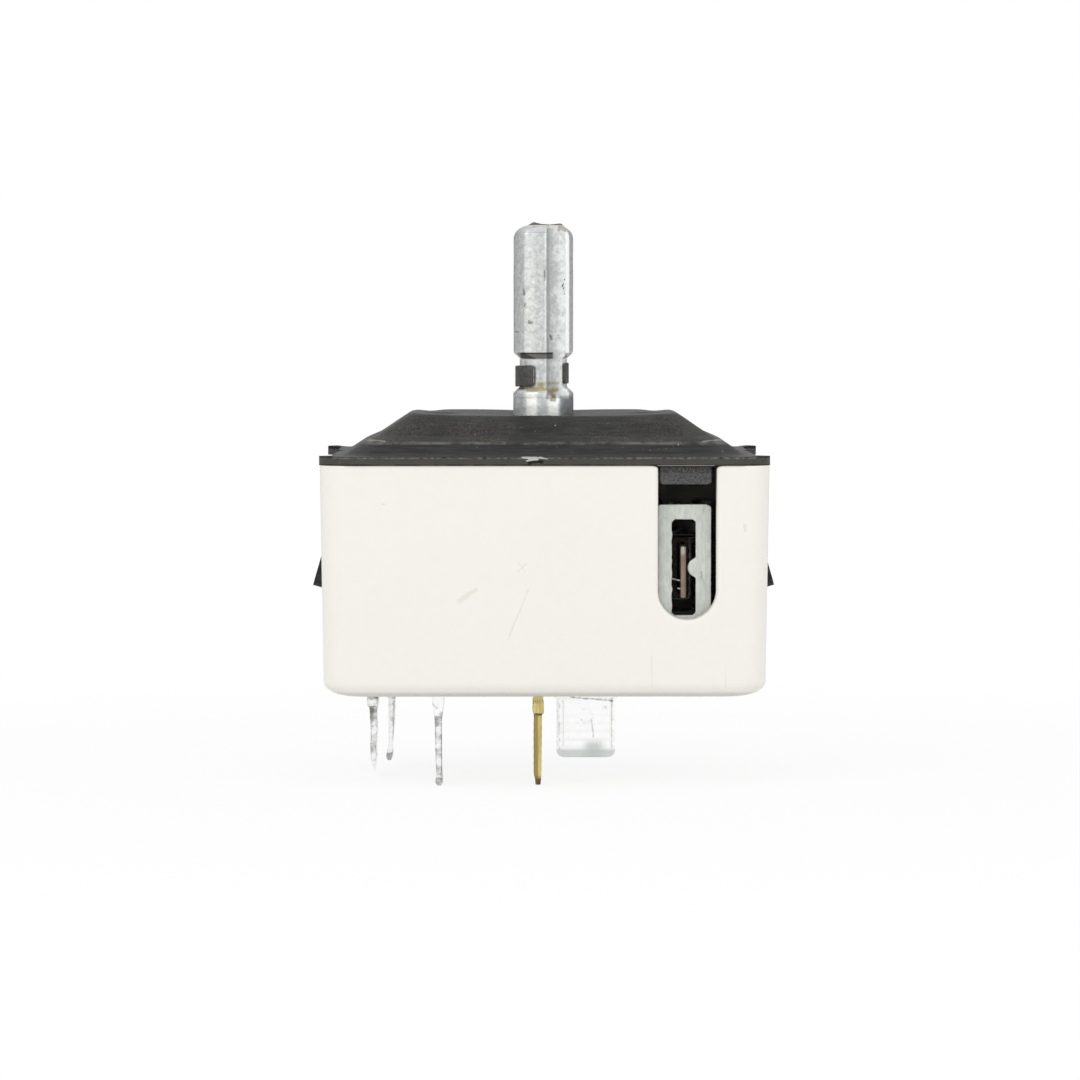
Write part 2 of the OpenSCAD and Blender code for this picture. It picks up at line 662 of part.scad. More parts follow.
// Push-on tab below the base, with its collar, and its neck up through the floor
module tab(at, len, turned = false) {
    translate([at[0], at[1], 0]) rotate([0, 0, turned ? 0 : 90]) difference() {
        union() {
            intersection() {
                translate([0, tab_t, 0]) rotate([90, 0, 0]) linear_extrude(2 * tab_t)
                    polygon(concat([[-tab_w / 2, z_base], [tab_w / 2, z_base]], turned
                        // the tab on the wide side has round corners, the others are chamfered
                        ? [for (s = [1, -1], a = [0:15:90]) let (b = s > 0 ? a : 90 - a)
                            [s * (tab_w / 2 - 0.85 * (1 - cos(b))), z_base - len + 0.85 * (1 - sin(b))]]
                        : [[tab_w / 2, z_base - len + 1.1], [tab_w / 2 - 0.9, z_base - len],
                            [0.9 - tab_w / 2, z_base - len], [-tab_w / 2, z_base - len + 1.1]]));
                rotate([90, 0, 90]) translate([0, 0, -tab_w]) linear_extrude(2 * tab_w)
                    polygon([[-tab_t / 2, z_base], [tab_t / 2, z_base], [tab_t / 2, z_base - len + 1],
                        [tab_t / 2 - tip_bevel, z_base - len], [tip_bevel - tab_t / 2, z_base - len],
                        [-tab_t / 2, z_base - len + 1]]);
            }
            block([-tab_w / 2 - 0.2, -collar_t / 2, z_base - collar_z], [tab_w / 2 + 0.2, collar_t / 2, z_base]);
            block([-neck_w / 2, -tab_t / 2, z_base - e], [neck_w / 2, tab_t / 2, z_floor + e]);
        }
        // latch dimple on the outer face
        translate([0, 0, z_base - 3.3]) rod(0.8, -tab_t, 0.25 - tab_t / 2, "y");
    }
}

module terminal_l1() {
    // foot along the floor, with the ear that backs the arm and the lip that keeps its knife edge in place
    left = arm_x - arm_t / 2 - tab_t - 0.02;
    lip = arm_x + arm_t / 2 + 0.15;
    color("#b9a45c") {
        tab(t_l1, 8.9);
        block([left, arm_y - 1.8, z_floor], [t_l1[0] + tab_t / 2, arm_y + 1.6, z_floor + tab_t]);
        block([left, arm_y - 1.8, z_floor], [left + tab_t, arm_y + 1.6, arm_foot + 2.2]);
        block([lip, arm_y - 1.2, z_floor], [lip + 0.6, arm_y + 1.2, arm_foot + 0.7]);
    }
}

module terminal_h1() {
    color("silver") difference() {
        union() {
            tab(t_h1, 9);
            block([t_h1[0] - tab_t / 2, t_h1[1] - 1.8, z_floor], [t_h1[0] + tab_t / 2, t_h1[1] + 1.8, contact_z + 2.2]);
        }
        translate([0, t_h1[1], contact_z]) rod(0.6 + snug, t_h1[0] - 2, t_h1[0] + 2, "x");
    }
}

module terminal_p() {
    x0 = t_p[0] - tab_t / 2;
    color("silver") difference() {
        union() {
            tab(t_p, 8.4);
            block([x0, t_p[1] - neck_w / 2, z_floor], [x0 + tab_t, t_p[1] + neck_w / 2, strip_z[1]]);
            block([x0, t_p[1], strip_z[0]], [x0 + tab_t, strip_y + tab_t, strip_z[1]]);
            block([x0, strip_y, strip_z[0]], [pilot_x + 1.7, strip_y + tab_t, strip_z[1]]);
        }
        translate([pilot_x, 0, contact_mid]) rod(0.6 + snug, strip_y - 2, strip_y + 2, "y");
    }
}

module terminal_l2() {
    x0 = t_l2[0] - tab_t / 2;
    color("silver") difference() {
        union() {
            tab(t_l2, 8.1);
            block([x0, t_l2[1] - neck_w / 2, z_floor], [x0 + tab_t, line_y, strip_z[1]]);
            block([x0, line_y - tab_t, strip_z[0]], [-13, line_y, strip_z[1]]);
        }
        translate([rivet_x, 0, contact_mid]) rod(0.6 + snug, line_y - 2, line_y + 2, "y");
    }
}

module terminal_h2() {
    x0 = t_h2[0] - 2.1;
    x1 = t_h2[0] + 3.1;
    color("silver") difference() {
        union() {
            tab(t_h2, 7.6, true);
            block([x0, t_h2[1] - tab_t / 2, z_floor], [x1, strip_y + tab_t, z_floor + tab_t]);
            block([x0, strip_y, z_floor], [x1, strip_y + tab_t, strip_z[1]]);
        }
        translate([line_x, 0, contact_mid]) rod(0.6 + snug, strip_y - 2, strip_y + 2, "y");
    }
}

module line_arm() {
    color("darkorange") difference() {
        translate([0, 0, line_z[0]]) linear_extrude(line_z[1] - line_z[0]) {
            translate([t_l2[0] - tab_t / 2, line_y]) square([-1.2 - t_l2[0] + tab_t / 2, line_t]);
            translate([1.2, line_y]) square([line_end - 1.2, line_t]);
            rotate(-90) leaf_bump(-line_y, 0.45, bump_r, line_t);
        }
        for (x = [rivet_x, pilot_x, line_x])
            translate([x, 0, contact_mid]) rod(0.6 + snug, line_y - 2, line_y + 2, "y");
    }
}

module line_moving_contacts() {
    color("gainsboro") for (x = [pilot_x, line_x])
        translate([x, line_y + line_t, contact_mid]) rotate([-90, 0, 0]) button(1.15, 0.6, line_t);
}

module line_fixed_contact() {
    color("gainsboro") translate([line_x, strip_y, contact_mid]) rotate([90, 0, 0]) button(1.15, 0.8, tab_t);
}

module pilot_fixed_contact() {
    color("gainsboro") translate([pilot_x, strip_y, contact_mid]) rotate([90, 0, 0]) button(1.15, 1, tab_t);
}

housing();
cover();
shaft();
knob_clip();
return_spring();
cam();
detent_spring();
thermal_lever();
lever_pin();
lever_spring();
bimetal_blade();
blade_rivets();
heater_sleeve();
heater_winding();
calibrating_screw();
actuator_plate();
cycling_arm();
arm_insulator();
cycling_moving_contact();
cycling_fixed_contact();
line_arm_rivet();
terminal_l1();
terminal_h1();
terminal_p();
terminal_l2();
terminal_h2();
line_arm();
line_moving_contacts();
line_fixed_contact();
pilot_fixed_contact();
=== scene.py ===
# %% [markdown]
# # A rotary heat switch for a cooktop
#
# This lesson dresses a finished mechanical model of a small switch: a cream moulded box, a black
# pressed cover, a zinc stem for the knob and five push-on tabs. The mechanical model is loaded as a
# fixed frame. Every new piece sits exactly where a mechanical part was, and moves with it.

# %% Load the frame
import math
import bmesh
import bpy
import numpy as np
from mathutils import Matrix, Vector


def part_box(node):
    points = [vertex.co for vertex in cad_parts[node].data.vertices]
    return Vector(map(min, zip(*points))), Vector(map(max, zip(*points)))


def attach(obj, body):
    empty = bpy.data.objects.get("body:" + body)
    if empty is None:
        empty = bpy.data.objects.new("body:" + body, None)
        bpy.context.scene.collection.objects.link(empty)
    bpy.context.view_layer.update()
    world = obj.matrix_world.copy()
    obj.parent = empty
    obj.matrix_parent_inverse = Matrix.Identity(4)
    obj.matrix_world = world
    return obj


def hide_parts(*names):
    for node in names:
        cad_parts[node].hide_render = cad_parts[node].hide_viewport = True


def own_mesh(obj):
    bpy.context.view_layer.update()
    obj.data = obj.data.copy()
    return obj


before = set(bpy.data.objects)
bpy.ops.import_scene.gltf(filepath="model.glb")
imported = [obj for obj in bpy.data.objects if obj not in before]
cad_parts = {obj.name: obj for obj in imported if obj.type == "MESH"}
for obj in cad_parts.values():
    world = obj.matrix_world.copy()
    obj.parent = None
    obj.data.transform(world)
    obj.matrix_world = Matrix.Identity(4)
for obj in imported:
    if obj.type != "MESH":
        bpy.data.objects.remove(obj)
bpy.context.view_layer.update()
MM = 0.001


def show(name, data):
    """Puts a new object in the scene."""
    thing = bpy.data.objects.new(name, data)
    bpy.context.scene.collection.objects.link(thing)
    return thing


# %% [markdown]
# ## Camera
#
# The switch was photographed from about half a metre with a long lens, a little above the cover.
# Depth lines in the picture meet at one pixel, and that pixel gives the direction of the lens.
# Aiming the camera keeps it level in other views, where a large lens shift would push the switch aside.

# %% Camera
FRAME_PX = 1080
FOCAL_PX = 5170
VANISH = (495, 290)
EYE = (-5.15, -550.8, 12.85)

yaw = math.atan((FRAME_PX / 2 - VANISH[0]) / FOCAL_PX)
pitch = math.atan((FRAME_PX / 2 - VANISH[1]) / FOCAL_PX)
camera = show("camera", bpy.data.cameras.new("camera"))
camera.data.sensor_width = 36
camera.data.lens = FOCAL_PX / FRAME_PX * 36
camera.data.clip_start, camera.data.clip_end = 0.01, 20
camera.location = [v * MM for v in EYE]
camera.rotation_euler = (math.pi / 2 - pitch, 0, -yaw)
bpy.context.scene.camera = camera
bpy.context.scene.view_settings.view_transform = "Standard"
print("lens", round(camera.data.lens, 1), "mm, pitch", round(math.degrees(pitch), 2))

# %% [markdown]
# ## From arrays to meshes
#
# A surface here is a grid of points worked out all at once with numpy. Two helpers turn such grids
# into mesh objects: one lists the four-sided faces between neighbouring points, the other joins the
# parts, welds their shared seams and shades the result. This keeps every shape a formula.

# %% Grid and mesh helpers
WELD = 2e-7
CREASE = math.radians(38)


def grid(points, wrap_u=False, wrap_v=False, keep=None):
    """Points and faces of a grid: point (i, j) is joined to (i+1, j), (i+1, j+1) and (i, j+1)."""
    nu, nv = points.shape[:2]
    i, j = np.indices((nu if wrap_u else nu - 1, nv if wrap_v else nv - 1))
    i1, j1 = (i + 1) % nu, (j + 1) % nv
    faces = np.stack([i * nv + j, i1 * nv + j, i1 * nv + j1, i * nv + j1], -1)
    faces = faces[keep] if keep is not None else faces.reshape(-1, 4)
    return points.reshape(-1, 3), faces.tolist()


def cap(ring, flip=False):
    """One flat face through a closed ring of points."""
    order = list(range(len(ring)))
    return ring, [order[::-1] if flip else order]


def build(name, parts, body, slot, node, material=None, outward=True, crease=CREASE):
    """Joins (points, faces) parts, in millimetres, into one piece that rides on a body. It takes its
    slot's finish unless another material is given."""
    points, faces, start = [], [], 0
    for part_points, part_faces in parts:
        points.append(np.asarray(part_points, float))
        faces += [[v + start for v in f] for f in part_faces]
        start += len(part_points)
    mesh = bpy.data.meshes.new(name)
    mesh.from_pydata(np.concatenate(points) * MM, [], faces)
    work = bmesh.new()
    work.from_mesh(mesh)
    bmesh.ops.remove_doubles(work, verts=work.verts, dist=WELD)
    bmesh.ops.dissolve_degenerate(work, edges=work.edges, dist=WELD)
    if outward:
        bmesh.ops.recalc_face_normals(work, faces=work.faces)
    work.to_mesh(mesh)
    work.free()
    mesh.shade_smooth()
    mesh.set_sharp_from_angle(angle=crease)
    mesh.materials.append(material or FINISHES[slot])
    piece = show(name, mesh)
    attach(piece, body)
    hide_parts(node)
    print(f"{name}: {len(mesh.polygons)} faces")
    return piece


def spaced(*stops):
    """Positions through several stops: a first value, then (next value, number of steps) pairs."""
    out = [np.array([stops[0]], float)]
    for value, steps in stops[1:]:
        out.append(np.linspace(out[-1][-1], value, steps + 1)[1:])
    return np.concatenate(out)


# %% [markdown]
# ## Rings, lathes and wires
#
# Most moulded, pressed and stamped parts are a stack of rounded rectangles whose size changes with
# height. Turned parts are a profile spun round an axis, and springs are a circle carried along a
# path. These three forms make nearly everything on the switch.

# %% Stacked rings
def arc_points(steps):
    """Angles from 0 to 90 degrees in equal steps."""
    return np.linspace(0, np.pi / 2, steps + 1)


def rings(hx, hy, r, z, front=(-1, 1), side=(-1, 1), arcs=(arc_points(6), arc_points(6))):
    """Rings of rounded rectangles, one for each height: half sizes hx and hy, corner radius r.
    front and side are positions along the straight parts as shares from -1 to 1, arcs the angles of
    the first and second kind of corner. A corner point is its centre plus r (cos a, sin a)."""
    sizes = np.broadcast_arrays(*[np.asarray(v, float) for v in (hx, hy, r, z)])
    hx, hy, r, z = (v[:, None] for v in sizes)
    front, side = (np.atleast_2d(share) + 0 * hx for share in (front, side))
    ex, ey = hx - r, hy - r

    def corner(sx, sy, quarter, angles):
        a = angles[None, 1:-1] + quarter * np.pi / 2
        return sx * ex + r * np.cos(a), sy * ey + r * np.sin(a)

    runs = [(ex * front, -hy + 0 * front), corner(1, -1, -1, arcs[0]), (hx + 0 * side, ey * side),
            corner(1, 1, 0, arcs[1]), (-ex * front, hy + 0 * front), corner(-1, 1, 1, arcs[0]),
            (-hx + 0 * side, -ey * side), corner(-1, -1, 2, arcs[1])]
    x, y = (np.concatenate(run, 1) for run in zip(*runs))
    return np.stack([x, y, z + 0 * x], -1)


def fall(t):
    """How far a quarter circle of radius 1 has fallen at t: 1 - sqrt(1 - t^2), with t kept in 0..1."""
    return 1 - np.sqrt(1 - np.clip(t, 0, 1) ** 2)


def polar(r, a, at=(0, 0)):
    """Flat points at radius r and angle a about a centre: (x + r cos a, y + r sin a)."""
    return np.stack([at[0] + r * np.cos(a), at[1] + r * np.sin(a)], -1)


def level(points, z):
    """Flat points lifted to a height."""
    return np.c_[points, np.full(len(points), z)]


def solid_stack(stack):
    """A closed solid from rings: the side grid and a flat face at each end."""
    return [grid(stack, wrap_v=True), cap(stack[0], True), cap(stack[-1])]


def soft_block(lo, hi, r=0.2, edge=0.15):
    """A block between two corners with upright corner radius r and rounded top and bottom edges:
    near each end the ring shrinks by edge (1 - sin a) while the height moves by edge (1 - cos a)."""
    lo, hi = np.minimum(lo, hi), np.maximum(lo, hi)
    mid, half = (lo + hi) / 2, (hi - lo) / 2
    a = arc_points(3)
    shrink = np.concatenate([edge * (1 - np.sin(a)), edge * (1 - np.sin(a[::-1]))])
    z = np.concatenate([-half[2] + edge * (1 - np.cos(a)), half[2] - edge * (1 - np.cos(a[::-1]))])
    return solid_stack(rings(half[0] - shrink, half[1] - shrink, max(r - edge / 2, 0.03), z) + mid)


def spin(profile, at=(0, 0), steps=96):
    """Spins a profile of (radius, height) points round an upright axis: x = r cos a, y = r sin a."""
    r, z = np.asarray(profile, float).T[..., None]
    a = np.linspace(0, 2 * np.pi, steps, endpoint=False)
    return np.stack([at[0] + r * np.cos(a), at[1] + r * np.sin(a), z + 0 * a], -1)


def wire(path, radius, up=(0, 0, 1), sides=10):
    """A round wire: at each point of the path, a circle in the plane square to it. One side of the
    circle's frame is the path direction crossed with up, the other is square to both."""
    path = np.asarray(path, float)
    along = np.gradient(path, axis=0)
    along /= np.linalg.norm(along, axis=1, keepdims=True)
    out = np.cross(along, up)
    out /= np.linalg.norm(out, axis=1, keepdims=True)
    over = np.cross(out, along)
    a = np.linspace(0, 2 * np.pi, sides, endpoint=False)
    circle = np.cos(a)[None, :, None] * out[:, None, :] + np.sin(a)[None, :, None] * over[:, None, :]
    tube = path[:, None, :] + radius * circle
    return [grid(tube, wrap_v=True), cap(tube[0]), cap(tube[-1], True)]


def smooth_path(points, count):
    """A curve through points: cubic pieces whose slope at each point is that of its neighbours' chord."""
    p = np.asarray(points, float)
    slope = np.gradient(p, axis=0)
    t = np.linspace(0, len(p) - 1, count)
    k = np.minimum(t.astype(int), len(p) - 2)
    u = (t - k)[:, None]
    return ((2 * u**3 - 3 * u**2 + 1) * p[k] + (u**3 - 2 * u**2 + u) * slope[k]
            + (3 * u**2 - 2 * u**3) * p[k + 1] + (u**3 - u**2) * slope[k + 1])


# %% [markdown]
# ## Holes without cutting
#
# A round hole in a grid can be had without any cutting tool. Round the hole, square rings of grid
# points are bent into circles, and further out they are left square. The cells inside the innermost
# ring are then simply left out.

# %% Bending a grid round a hole
def disc(u, v):
    """Square rings bent into circles: with m the larger of |u| and |v|,
    u becomes u sqrt(1 - v^2 / 2 m^2) and v becomes v sqrt(1 - u^2 / 2 m^2)."""
    m = np.maximum(np.maximum(np.abs(u), np.abs(v)), 1e-9)
    return u * np.sqrt(1 - (v / m) ** 2 / 2), v * np.sqrt(1 - (u / m) ** 2 / 2)


def ease(t):
    """A soft step from 0 to 1: 3 t^2 - 2 t^3."""
    t = np.clip(t, 0, 1)
    return t * t * (3 - 2 * t)


def bend_round(p, q, at, half, radius, reach, open_top=False):
    """Bends grid coordinates p, q round a hole. The square ring at distance half becomes a circle of
    that radius, and the pull fades out at reach times half. With open_top the hole is a long slot:
    above its centre the sides stay straight."""
    u, v = (p - at[0]) / half, (q - at[1]) / half
    low = np.minimum(v, 0) if open_top else v
    m = np.maximum(np.abs(u), np.abs(low))
    share = 1 - ease((m - 1) / (reach - 1))
    du, dv = disc(u, low)
    scale = radius / half
    return p + half * share * (du * scale - u), q + half * share * (dv * scale - low)


# %% [markdown]
# ## Effects that several finishes share
#
# Real surfaces are uneven at more than one size: cloudy patches, specks of dust or pits, fine grain
# and single scratches. Each effect is a shader node group with named inputs, built once and placed
# in every finish that needs it. All of them read object coordinates, so they stay put on the piece.

# %% Node helpers
def srgb(r, g, b):
    """A colour given as the screen shows it, turned into the linear values that a shader needs."""
    c = np.array([r, g, b], float) / 255
    c = np.where(c <= 0.04045, c / 12.92, ((c + 0.055) / 1.055) ** 2.4)
    return (*c.tolist(), 1.0)


def feed(tree, node, inputs):
    """Gives a node's inputs, by socket name or number, a value each or another node's output."""
    for key, value in inputs.items():
        if isinstance(value, bpy.types.NodeSocket):
            tree.links.new(value, node.inputs[key])
        else:
            node.inputs[key].default_value = value


def put(tree, kind, inputs=None, **settings):
    """Adds a shader node and feeds its inputs."""
    made = tree.nodes.new("ShaderNode" + kind)
    for key, value in settings.items():
        setattr(made, key, value)
    feed(tree, made, inputs or {})
    return made


def calc(tree, operation, *values):
    """A Math node's result."""
    return put(tree, "Math", dict(enumerate(values)), operation=operation).outputs[0]


def soft_step(tree, value, low, high, to_low=0.0, to_high=1.0):
    """A value mapped smoothly from the range low..high to 0..1."""
    return put(tree, "MapRange", {"Value": value, "From Min": low, "From Max": high, "To Min": to_low,
                                  "To Max": to_high}, interpolation_type="SMOOTHSTEP").outputs[0]


def new_group(name, ins, outs):
    """An empty node group with named sockets: ins are (name, kind, value), outs are (name, kind)."""
    tree = bpy.data.node_groups.new(name, "ShaderNodeTree")
    for label, kind, value in ins:
        socket = tree.interface.new_socket(label, in_out="INPUT", socket_type="NodeSocket" + kind)
        if value is not None:
            socket.default_value = value
    for label, kind in outs:
        tree.interface.new_socket(label, in_out="OUTPUT", socket_type="NodeSocket" + kind)
    return tree, tree.nodes.new("NodeGroupInput").outputs, tree.nodes.new("NodeGroupOutput").inputs


# %% Cloudy patches, grain and specks
def make_clouds():
    """Noise of a given patch size in millimetres, with its contrast stretched about the middle."""
    tree, i, o = new_group("clouds", [("Vector", "Vector", None), ("Size", "Float", 4.0),
                                      ("Contrast", "Float", 2.0), ("Detail", "Float", 4.0)],
                           [("Mask", "Float")])
    scale = calc(tree, "DIVIDE", 1 / MM, i["Size"])
    noise = put(tree, "TexNoise", {"Vector": i["Vector"], "Scale": scale, "Detail": i["Detail"],
                                   "Roughness": 0.6}).outputs[0]
    half = calc(tree, "DIVIDE", 0.5, i["Contrast"])
    tree.links.new(soft_step(tree, noise, calc(tree, "SUBTRACT", 0.5, half),
                             calc(tree, "ADD", 0.5, half)), o["Mask"])
    return tree


def make_specks():
    """Scattered dots: the distance to random cell centres, kept only in a share of the cells."""
    tree, i, o = new_group("specks", [("Vector", "Vector", None), ("Size", "Float", 0.5),
                                      ("Share", "Float", 0.3), ("Radius", "Float", 0.35)],
                           [("Mask", "Float")])
    scale = calc(tree, "DIVIDE", 1 / MM, i["Size"])
    shake = put(tree, "TexNoise", {"Vector": i["Vector"], "Scale": calc(tree, "MULTIPLY", scale, 1.7),
                                   "Detail": 2.0}).outputs["Color"]
    bent = put(tree, "VectorMath", {0: shake, "Scale": calc(tree, "MULTIPLY", i["Size"], 0.9 * MM)},
               operation="SCALE").outputs[0]
    where = put(tree, "VectorMath", {0: i["Vector"], 1: bent}, operation="ADD").outputs[0]
    cells = put(tree, "TexVoronoi", {"Vector": where, "Scale": scale})
    dot = soft_step(tree, cells.outputs["Distance"], i["Radius"], calc(tree, "MULTIPLY", i["Radius"], 0.4))
    pick = put(tree, "SeparateColor", {0: cells.outputs["Color"]}).outputs[0]
    kept = calc(tree, "LESS_THAN", pick, i["Share"])
    tree.links.new(calc(tree, "MULTIPLY", dot, kept), o["Mask"])
    return tree


# %% Single marks and zones
def make_stroke():
    """A scratch or line between two points in millimetres: 1 where the distance to the line is under
    half its width, with a slightly ragged edge."""
    tree, i, o = new_group("stroke", [("Vector", "Vector", None), ("From", "Vector", None),
                                      ("To", "Vector", None), ("Width", "Float", 0.2)],
                           [("Mask", "Float")])

    def vec(operation, *values, out=0):
        return put(tree, "VectorMath", dict(enumerate(values)), operation=operation).outputs[out]

    point = vec("SCALE", i["Vector"])
    point.node.inputs["Scale"].default_value = 1 / MM
    reach, span = vec("SUBTRACT", point, i["From"]), vec("SUBTRACT", i["To"], i["From"])
    share = calc(tree, "DIVIDE", vec("DOT_PRODUCT", reach, span, out="Value"),
                 vec("DOT_PRODUCT", span, span, out="Value"))
    share.node.use_clamp = True
    nearest = vec("SCALE", span)
    tree.links.new(share, nearest.node.inputs["Scale"])
    away = vec("LENGTH", vec("SUBTRACT", reach, nearest), out="Value")
    rag = put(tree, "TexNoise", {"Vector": i["Vector"], "Scale": 2600.0, "Detail": 3.0}).outputs[0]
    away = calc(tree, "ADD", away, calc(tree, "MULTIPLY", calc(tree, "SUBTRACT", rag, 0.5),
                                        calc(tree, "MULTIPLY", i["Width"], 1.2)))
    tree.links.new(soft_step(tree, away, calc(tree, "MULTIPLY", i["Width"], 0.6),
                             calc(tree, "MULTIPLY", i["Width"], 0.3)), o["Mask"])
    return tree


def make_zone():
    """1 between two places along an axis, fading over a soft distance on either side."""
    tree, i, o = new_group("zone", [("Value", "Float", 0.0), ("Low", "Float", 0.0), ("High", "Float", 1.0),
                                    ("Soft", "Float", 0.5)], [("Mask", "Float")])
    value = calc(tree, "MULTIPLY", i["Value"], 1 / MM)
    up = soft_step(tree, value, calc(tree, "SUBTRACT", i["Low"], i["Soft"]), i["Low"])
    down = soft_step(tree, value, calc(tree, "ADD", i["High"], i["Soft"]), i["High"])
    tree.links.new(calc(tree, "MULTIPLY", up, down), o["Mask"])
    return tree


GROUPS = {"clouds": make_clouds(), "specks": make_specks(), "stroke": make_stroke(), "zone": make_zone()}
print("shared effects:", sorted(GROUPS))

# %% [markdown]
# ## Finishes
#
# A finish starts from one Principled shader. Patches, specks and marks are laid over its base colour
# in turn, and the same masks drive roughness and a faint bump, so a dusty spot is also a dull spot.
# A small class keeps the wiring short: it holds the node tree, the shader and the coordinates.

# %% One finish
def new_shader(name):
    """A new material and its node tree."""
    material = bpy.data.materials.new(name)
    material.use_nodes = True
    return material, material.node_tree


class Finish:
    """A material under construction: a base colour, layers over it, and a height for the bump.
    Colours are given as the screen shows them, and sizes and places in millimetres."""

    def __init__(self, name, colour, rough, metal=0.0, specular=0.5):
        self.material, self.tree = new_shader(name)
        self.shader = self.tree.nodes["Principled BSDF"]
        self.shader.inputs["Specular IOR Level"].default_value = specular
        self.at = put(self.tree, "TexCoord").outputs["Object"]
        self.colour, self.rough, self.metal, self.height = srgb(*colour), rough, metal, 0.0

    def mask(self, effect, amount, **inputs):
        """The mask of a shared effect, scaled by an amount."""
        out = put(self.tree, "Group", inputs, node_tree=GROUPS[effect]).outputs[0]
        return out if amount == 1 else calc(self.tree, "MULTIPLY", out, amount)

    def clouds(self, size, contrast=2.0, amount=1, at=None):
        """Cloudy patches."""
        return self.mask("clouds", amount, Vector=at or self.at, Size=size, Contrast=contrast)

    def specks(self, size, share, radius, amount=1, at=None):
        """Dots in a share of cells of this size. The radius is a share of the cell."""
        return self.mask("specks", amount, Vector=at or self.at, Size=size, Share=share, Radius=radius)

    def zone(self, axis, low, high, soft, amount=1):
        """Everything between two places along an axis."""
        return self.mask("zone", amount, Value=self.axis(axis), Low=low, High=high, Soft=soft)

    def stretched(self, x, y, z):
        """Object coordinates scaled along each axis, for streaks and brushed lines."""
        return put(self.tree, "Mapping", {"Vector": self.at, "Scale": (x, y, z)}).outputs[0]

    def axis(self, name):
        """One object coordinate as a value."""
        return put(self.tree, "SeparateXYZ", {0: self.at}).outputs[name]

    def both(self, *masks):
        """The product of masks."""
        out = masks[0]
        for m in masks[1:]:
            out = calc(self.tree, "MULTIPLY", out, m)
        return out

    def mix(self, below, above, share):
        """One value or colour laid over another where the share says."""
        plain = isinstance(below, (int, float)) or getattr(below, "type", "") == "VALUE"
        first = 2 if plain else 6
        made = put(self.tree, "Mix", {0: share, first: below, first + 1: above}, data_type="FLOAT" if plain else "RGBA")
        return made.outputs[0 if plain else 2]

    def layer(self, masks, colour=None, rough=None, metal=None, height=None):
        """Lays a colour, roughness, metal share or height over what is there, where the masks say."""
        share = self.both(*masks) if isinstance(masks, list) else masks
        if colour is not None:
            self.colour = self.mix(self.colour, srgb(*colour), share)
        if rough is not None:
            self.rough = self.mix(self.rough, rough, share)
        if metal is not None:
            self.metal = self.mix(self.metal, metal, share)
        if height is not None:
            self.height = calc(self.tree, "ADD", self.height, calc(self.tree, "MULTIPLY", share, height))

    def bands(self, axis, rows, *masks):
        """Lays zones along an axis, inside the masks: rows are (low, high, soft, amount, *layer)."""
        for low, high, soft, amount, *look in rows:
            self.layer([self.zone(axis, low, high, soft, amount), *masks], *look)

    def marks(self, strokes, colour, amount=1, rough=None, height=None):
        """Lays single strokes at fixed places: each is (start, end, width)."""
        for start, end, width in strokes:
            stroke = self.mask("stroke", amount, Vector=self.at, From=start, To=end, Width=width)
            self.layer(stroke, colour, rough, height=height)

    def done(self, bump=0.5):
        """Wires the layers into the shader."""
        wires = {"Base Color": self.colour, "Roughness": self.rough, "Metallic": self.metal}
        if isinstance(self.height, bpy.types.NodeSocket):
            shape = {"Strength": bump, "Distance": MM, "Height": self.height}
            wires["Normal"] = put(self.tree, "Bump", shape).outputs[0]
        feed(self.tree, self.shader, wires)
        return self.material


# %% [markdown]
# ## Moulding, paint and zinc
#
# The box is a cream moulded resin: nearly plain, with a few rub marks, and painted shade darkens its
# rounded lower edge and underside. The cover is black paint on steel, dulled by dust and nicked on its
# front edge; painted highlights line its flange edges and slope corners, and painted shade darkens its
# ear tops. The stem is zinc cast in a die: its skin is cloudy, with small pits, and old grease sits in
# the clip groove. Painted highlights and painted shade along its flat, slot, rib and collar, and under
# its shoulder and bevel, stand in for the light on the curved metal.

# %% Cream moulding
def ivory_moulding():
    f = Finish("ivory_moulding", (247, 244, 237), 0.4)
    f.layer(f.clouds(16.0, 1.5, 0.6), (243, 240, 231))
    f.layer(f.clouds(1.1, 2.2, 0.4), (247, 246, 241), 0.5, height=0.006)
    f.layer(f.specks(2.6, 0.08, 0.05, 0.3), (196, 184, 160))
    # Painted shade: darker towards the rounded lower edge and over the underside.
    f.bands("Z", [(-60, -28.4, 0.8, 0.5, (236, 234, 226)), (-60, -28.95, 0.35, 0.7, (206, 203, 192))])
    rubs = [((-3.79, -17.52, -23.2), (-1.73, -17.6, -18.1), 0.16), ((-2.8, -17.63, -16.2), (-1.9, -17.63, -15.4), 0.14),
            ((-2.7, -17.63, -15.3), (-2.0, -17.63, -16.3), 0.12), ((-8.8, -17.58, -19.2), (-7.2, -17.6, -18.1), 0.5),
            ((-22.4, -17.72, -8.7), (-22.5, -17.7, -9.8), 0.5), ((20.6, -17.7, -11.4), (20.7, -17.7, -11.9), 0.4),
            ((11.0, -17.45, -22.8), (11.1, -17.42, -28.4), 0.12), ((18.6, -17.45, -22.6), (18.7, -17.42, -28.2), 0.1)]
    f.marks(rubs, (222, 214, 196), 0.4, 0.6, -0.01)
    return f.done(0.6)


